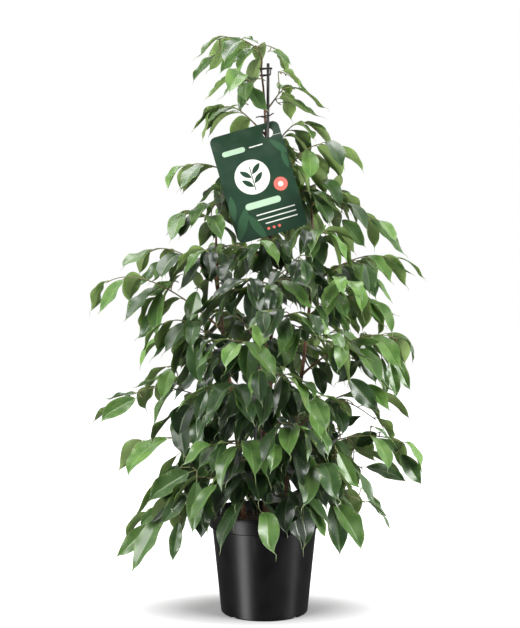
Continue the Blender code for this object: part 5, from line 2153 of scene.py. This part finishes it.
# How far a point lies outside a bar with round ends
def barEdge(group, given, along, across):
    past = minus(group, along, minus(group, given["Long"], given["Wide"]))
    past = mathOf(group, "MAXIMUM", past, 0.0)
    square = plus(group, times(group, past, past), times(group, across, across))
    return minus(group, mathOf(group, "SQRT", square), given["Wide"])


# How far a point lies outside a pointed leaflet
def leafletEdge(group, given, along, across):
    ratio = mathOf(group, "DIVIDE", along, given["Long"])
    bulge = minus(group, 1.0, times(group, ratio, ratio))
    return minus(group, across, times(group, bulge, given["Wide"]))


# Each shape of the print is a mask in the card's own metres
printBlur = 0.00015


def makePrintGroups():
    for name, edge in (("printBar", barEdge), ("printLeaflet", leafletEdge)):
        group, given, made = newGroup(
            name,
            {"X": 0.0, "Z": 0.0, "CentreX": 0.0, "CentreZ": 0.0, "Long": 0.02, "Wide": 0.01, "Turn": 0.0},
            {"Mask": "Float"},
        )
        away = edge(group, given, *printPlace(group, given))
        feed(group, rangeOf(group, away, printBlur, -printBlur), made["Mask"])


printColours = dict(
    card=(0.0150, 0.0450, 0.0240),
    shadow=(0.0330, 0.0950, 0.0450),
    cream=(0.80, 0.82, 0.74),
    mint=(0.46, 0.64, 0.46),
    coral=(0.78, 0.16, 0.13),
    back=(0.0210, 0.0580, 0.0310),
)

# Kind, colour, then the centre from the hole, half length, half width and turn in degrees
printShapes = [
    ("printLeaflet", "shadow", (-0.090, -0.150), 0.034, 0.0085, 62.0),
    ("printLeaflet", "shadow", (-0.066, -0.162), 0.030, 0.0075, 112.0),
    ("printLeaflet", "shadow", (-0.100, -0.118), 0.024, 0.0065, 84.0),
    ("printLeaflet", "shadow", (0.012, -0.030), 0.022, 0.0060, 128.0),
    ("printLeaflet", "shadow", (0.016, -0.056), 0.018, 0.0050, 96.0),
    ("printBar", "cream", (-0.050, -0.072), 0.0320, 0.0320, 0.0),
    ("printBar", "card", (-0.050, -0.075), 0.0225, 0.0008, 90.0),
    ("printLeaflet", "card", (-0.0395, -0.0590), 0.0125, 0.0046, 42.0),
    ("printLeaflet", "card", (-0.0605, -0.0650), 0.0125, 0.0046, 138.0),
    ("printLeaflet", "card", (-0.0395, -0.0760), 0.0125, 0.0046, 42.0),
    ("printLeaflet", "card", (-0.0605, -0.0820), 0.0125, 0.0046, 138.0),
    ("printBar", "mint", (-0.070, -0.018), 0.0215, 0.0052, 0.0),
    ("printBar", "cream", (-0.028, -0.018), 0.0130, 0.0011, 0.0),
    ("printBar", "mint", (-0.044, -0.123), 0.0330, 0.0060, 0.0),
    ("printBar", "coral", (-0.0040, -0.0980), 0.0125, 0.0125, 0.0),
    ("printBar", "cream", (-0.0040, -0.0980), 0.0046, 0.0046, 0.0),
    ("printBar", "cream", (-0.026, -0.142), 0.0360, 0.0010, 0.0),
    ("printBar", "cream", (-0.026, -0.151), 0.0360, 0.0010, 0.0),
    ("printBar", "cream", (-0.020, -0.160), 0.0300, 0.0010, 0.0),
]
printShapes += [("printBar", "coral", (x, -0.170), 0.0026, 0.0026, 0.0) for x in (-0.047, -0.037, -0.027)]


def tagMaterial():
    material, tree, shader = newMaterial("printedCard", specular=0.45)
    x = attributeOf(tree, "cardX")
    z = attributeOf(tree, "cardZ")
    darker = tuple(channel * 0.82 for channel in printColours["card"])
    colour = placeGroup(tree, "mottle", base=printColours["card"], other=darker, scale=30.0,
                        amount=0.5)["Colour"]
    for kind, ink, (centreX, centreZ), long, wide, turn in printShapes:
        mask = placeGroup(tree, kind, x=x, z=z, centreX=centreX, centreZ=centreZ, long=long, wide=wide,
                          turn=math.radians(turn))["Mask"]
        colour = mixOf(tree, mask, colour, printColours[ink])
    front = rangeOf(tree, attributeOf(tree, "front"), start=0.4, end=0.6)
    colour = mixOf(tree, front, printColours["back"], colour)
    dust = placeGroup(tree, "dustFilm", base=colour, dust=(0.4, 0.4, 0.36), amount=0.06, roughness=0.34)
    grain = placeGroup(tree, "fineGrain", coarse=260.0, fine=1500.0, balance=0.6)
    dress(tree, shader, dust["Colour"], dust["Roughness"], grain["Value"], strength=0.10,
          distance=0.0002)
    return material


# The card's flat outline, made thick and cut into rows and columns so that it can bend
def cardMesh(work, front):
    setup = tagSetup
    face = work.faces.new([work.verts.new((x, -setup["thickness"] / 2, z)) for x, z in tagOutline()])
    for vertex in work.verts:
        vertex[front] = 1.0
    grown = bmesh.ops.extrude_face_region(work, geom=[face])
    for item in grown["geom"]:
        if isinstance(item, bmesh.types.BMVert):
            item.co.y += setup["thickness"]
            item[front] = 0.0
    first, end, fineRow = setup["fineRows"]
    wideRows, depth, wideRow = setup["wideRows"]
    columns, side, column = setup["columns"]
    cuts = [((0, 0, -row * fineRow), (0, 0, 1)) for row in range(first, end)]
    cuts += [((0, 0, -depth - row * wideRow), (0, 0, 1)) for row in range(wideRows)]
    cuts += [((side + step * column, 0, 0), (1, 0, 0)) for step in range(columns)]
    for place, way in cuts:
        everything = work.verts[:] + work.edges[:] + work.faces[:]
        bmesh.ops.bisect_plane(work, geom=everything, plane_co=place, plane_no=way)


def makeTag():
    setup = tagSetup
    work = bmesh.new()
    front = work.verts.layers.float.new("front")
    cardX = work.verts.layers.float.new("cardX")
    cardZ = work.verts.layers.float.new("cardZ")
    cardMesh(work, front)
    for vertex in work.verts:
        vertex[cardX] = vertex.co.x
        vertex[cardZ] = vertex.co.z
        off = (vertex.co.x - setup["bowCentre"]) / setup["bowHalf"]
        fade = min(1.0, -vertex.co.z / setup["bowDepth"])
        bow = setup["bow"] * (off * off - setup["bowLevel"]) * fade
        vertex.co.y -= tagLean(-vertex.co.z) - bow
    bmesh.ops.triangulate(work, faces=work.faces)
    bmesh.ops.recalc_face_normals(work, faces=work.faces)
    work.transform(Matrix.Translation(setup["centre"]) @ Matrix.Rotation(-setup["tilt"], 4, "Y"))
    mesh = meshOf(work, "hang_tag")
    mesh.materials.append(tagMaterial())
    smoothBelow(mesh, setup["sharp"])
    settle(addObject("hang_tag", mesh), "tag", "tag")
    print("tag done")


# Putting it together

makeLeafGroup()
makeBarkGroup()
makePrintGroups()
stemPaths = {name: smoothPath(stem["points"], 2) for name, stem in stems.items()}
curves = {name: sprayCurve(name, stemPaths) for name in sprays}
makePot()
makeSoil()
makeCane()
makeTies(stemPaths["main"], smoothPath(caneForm["points"], 1))
makeTag()
makeStems(curves)
makeSprays(curves)
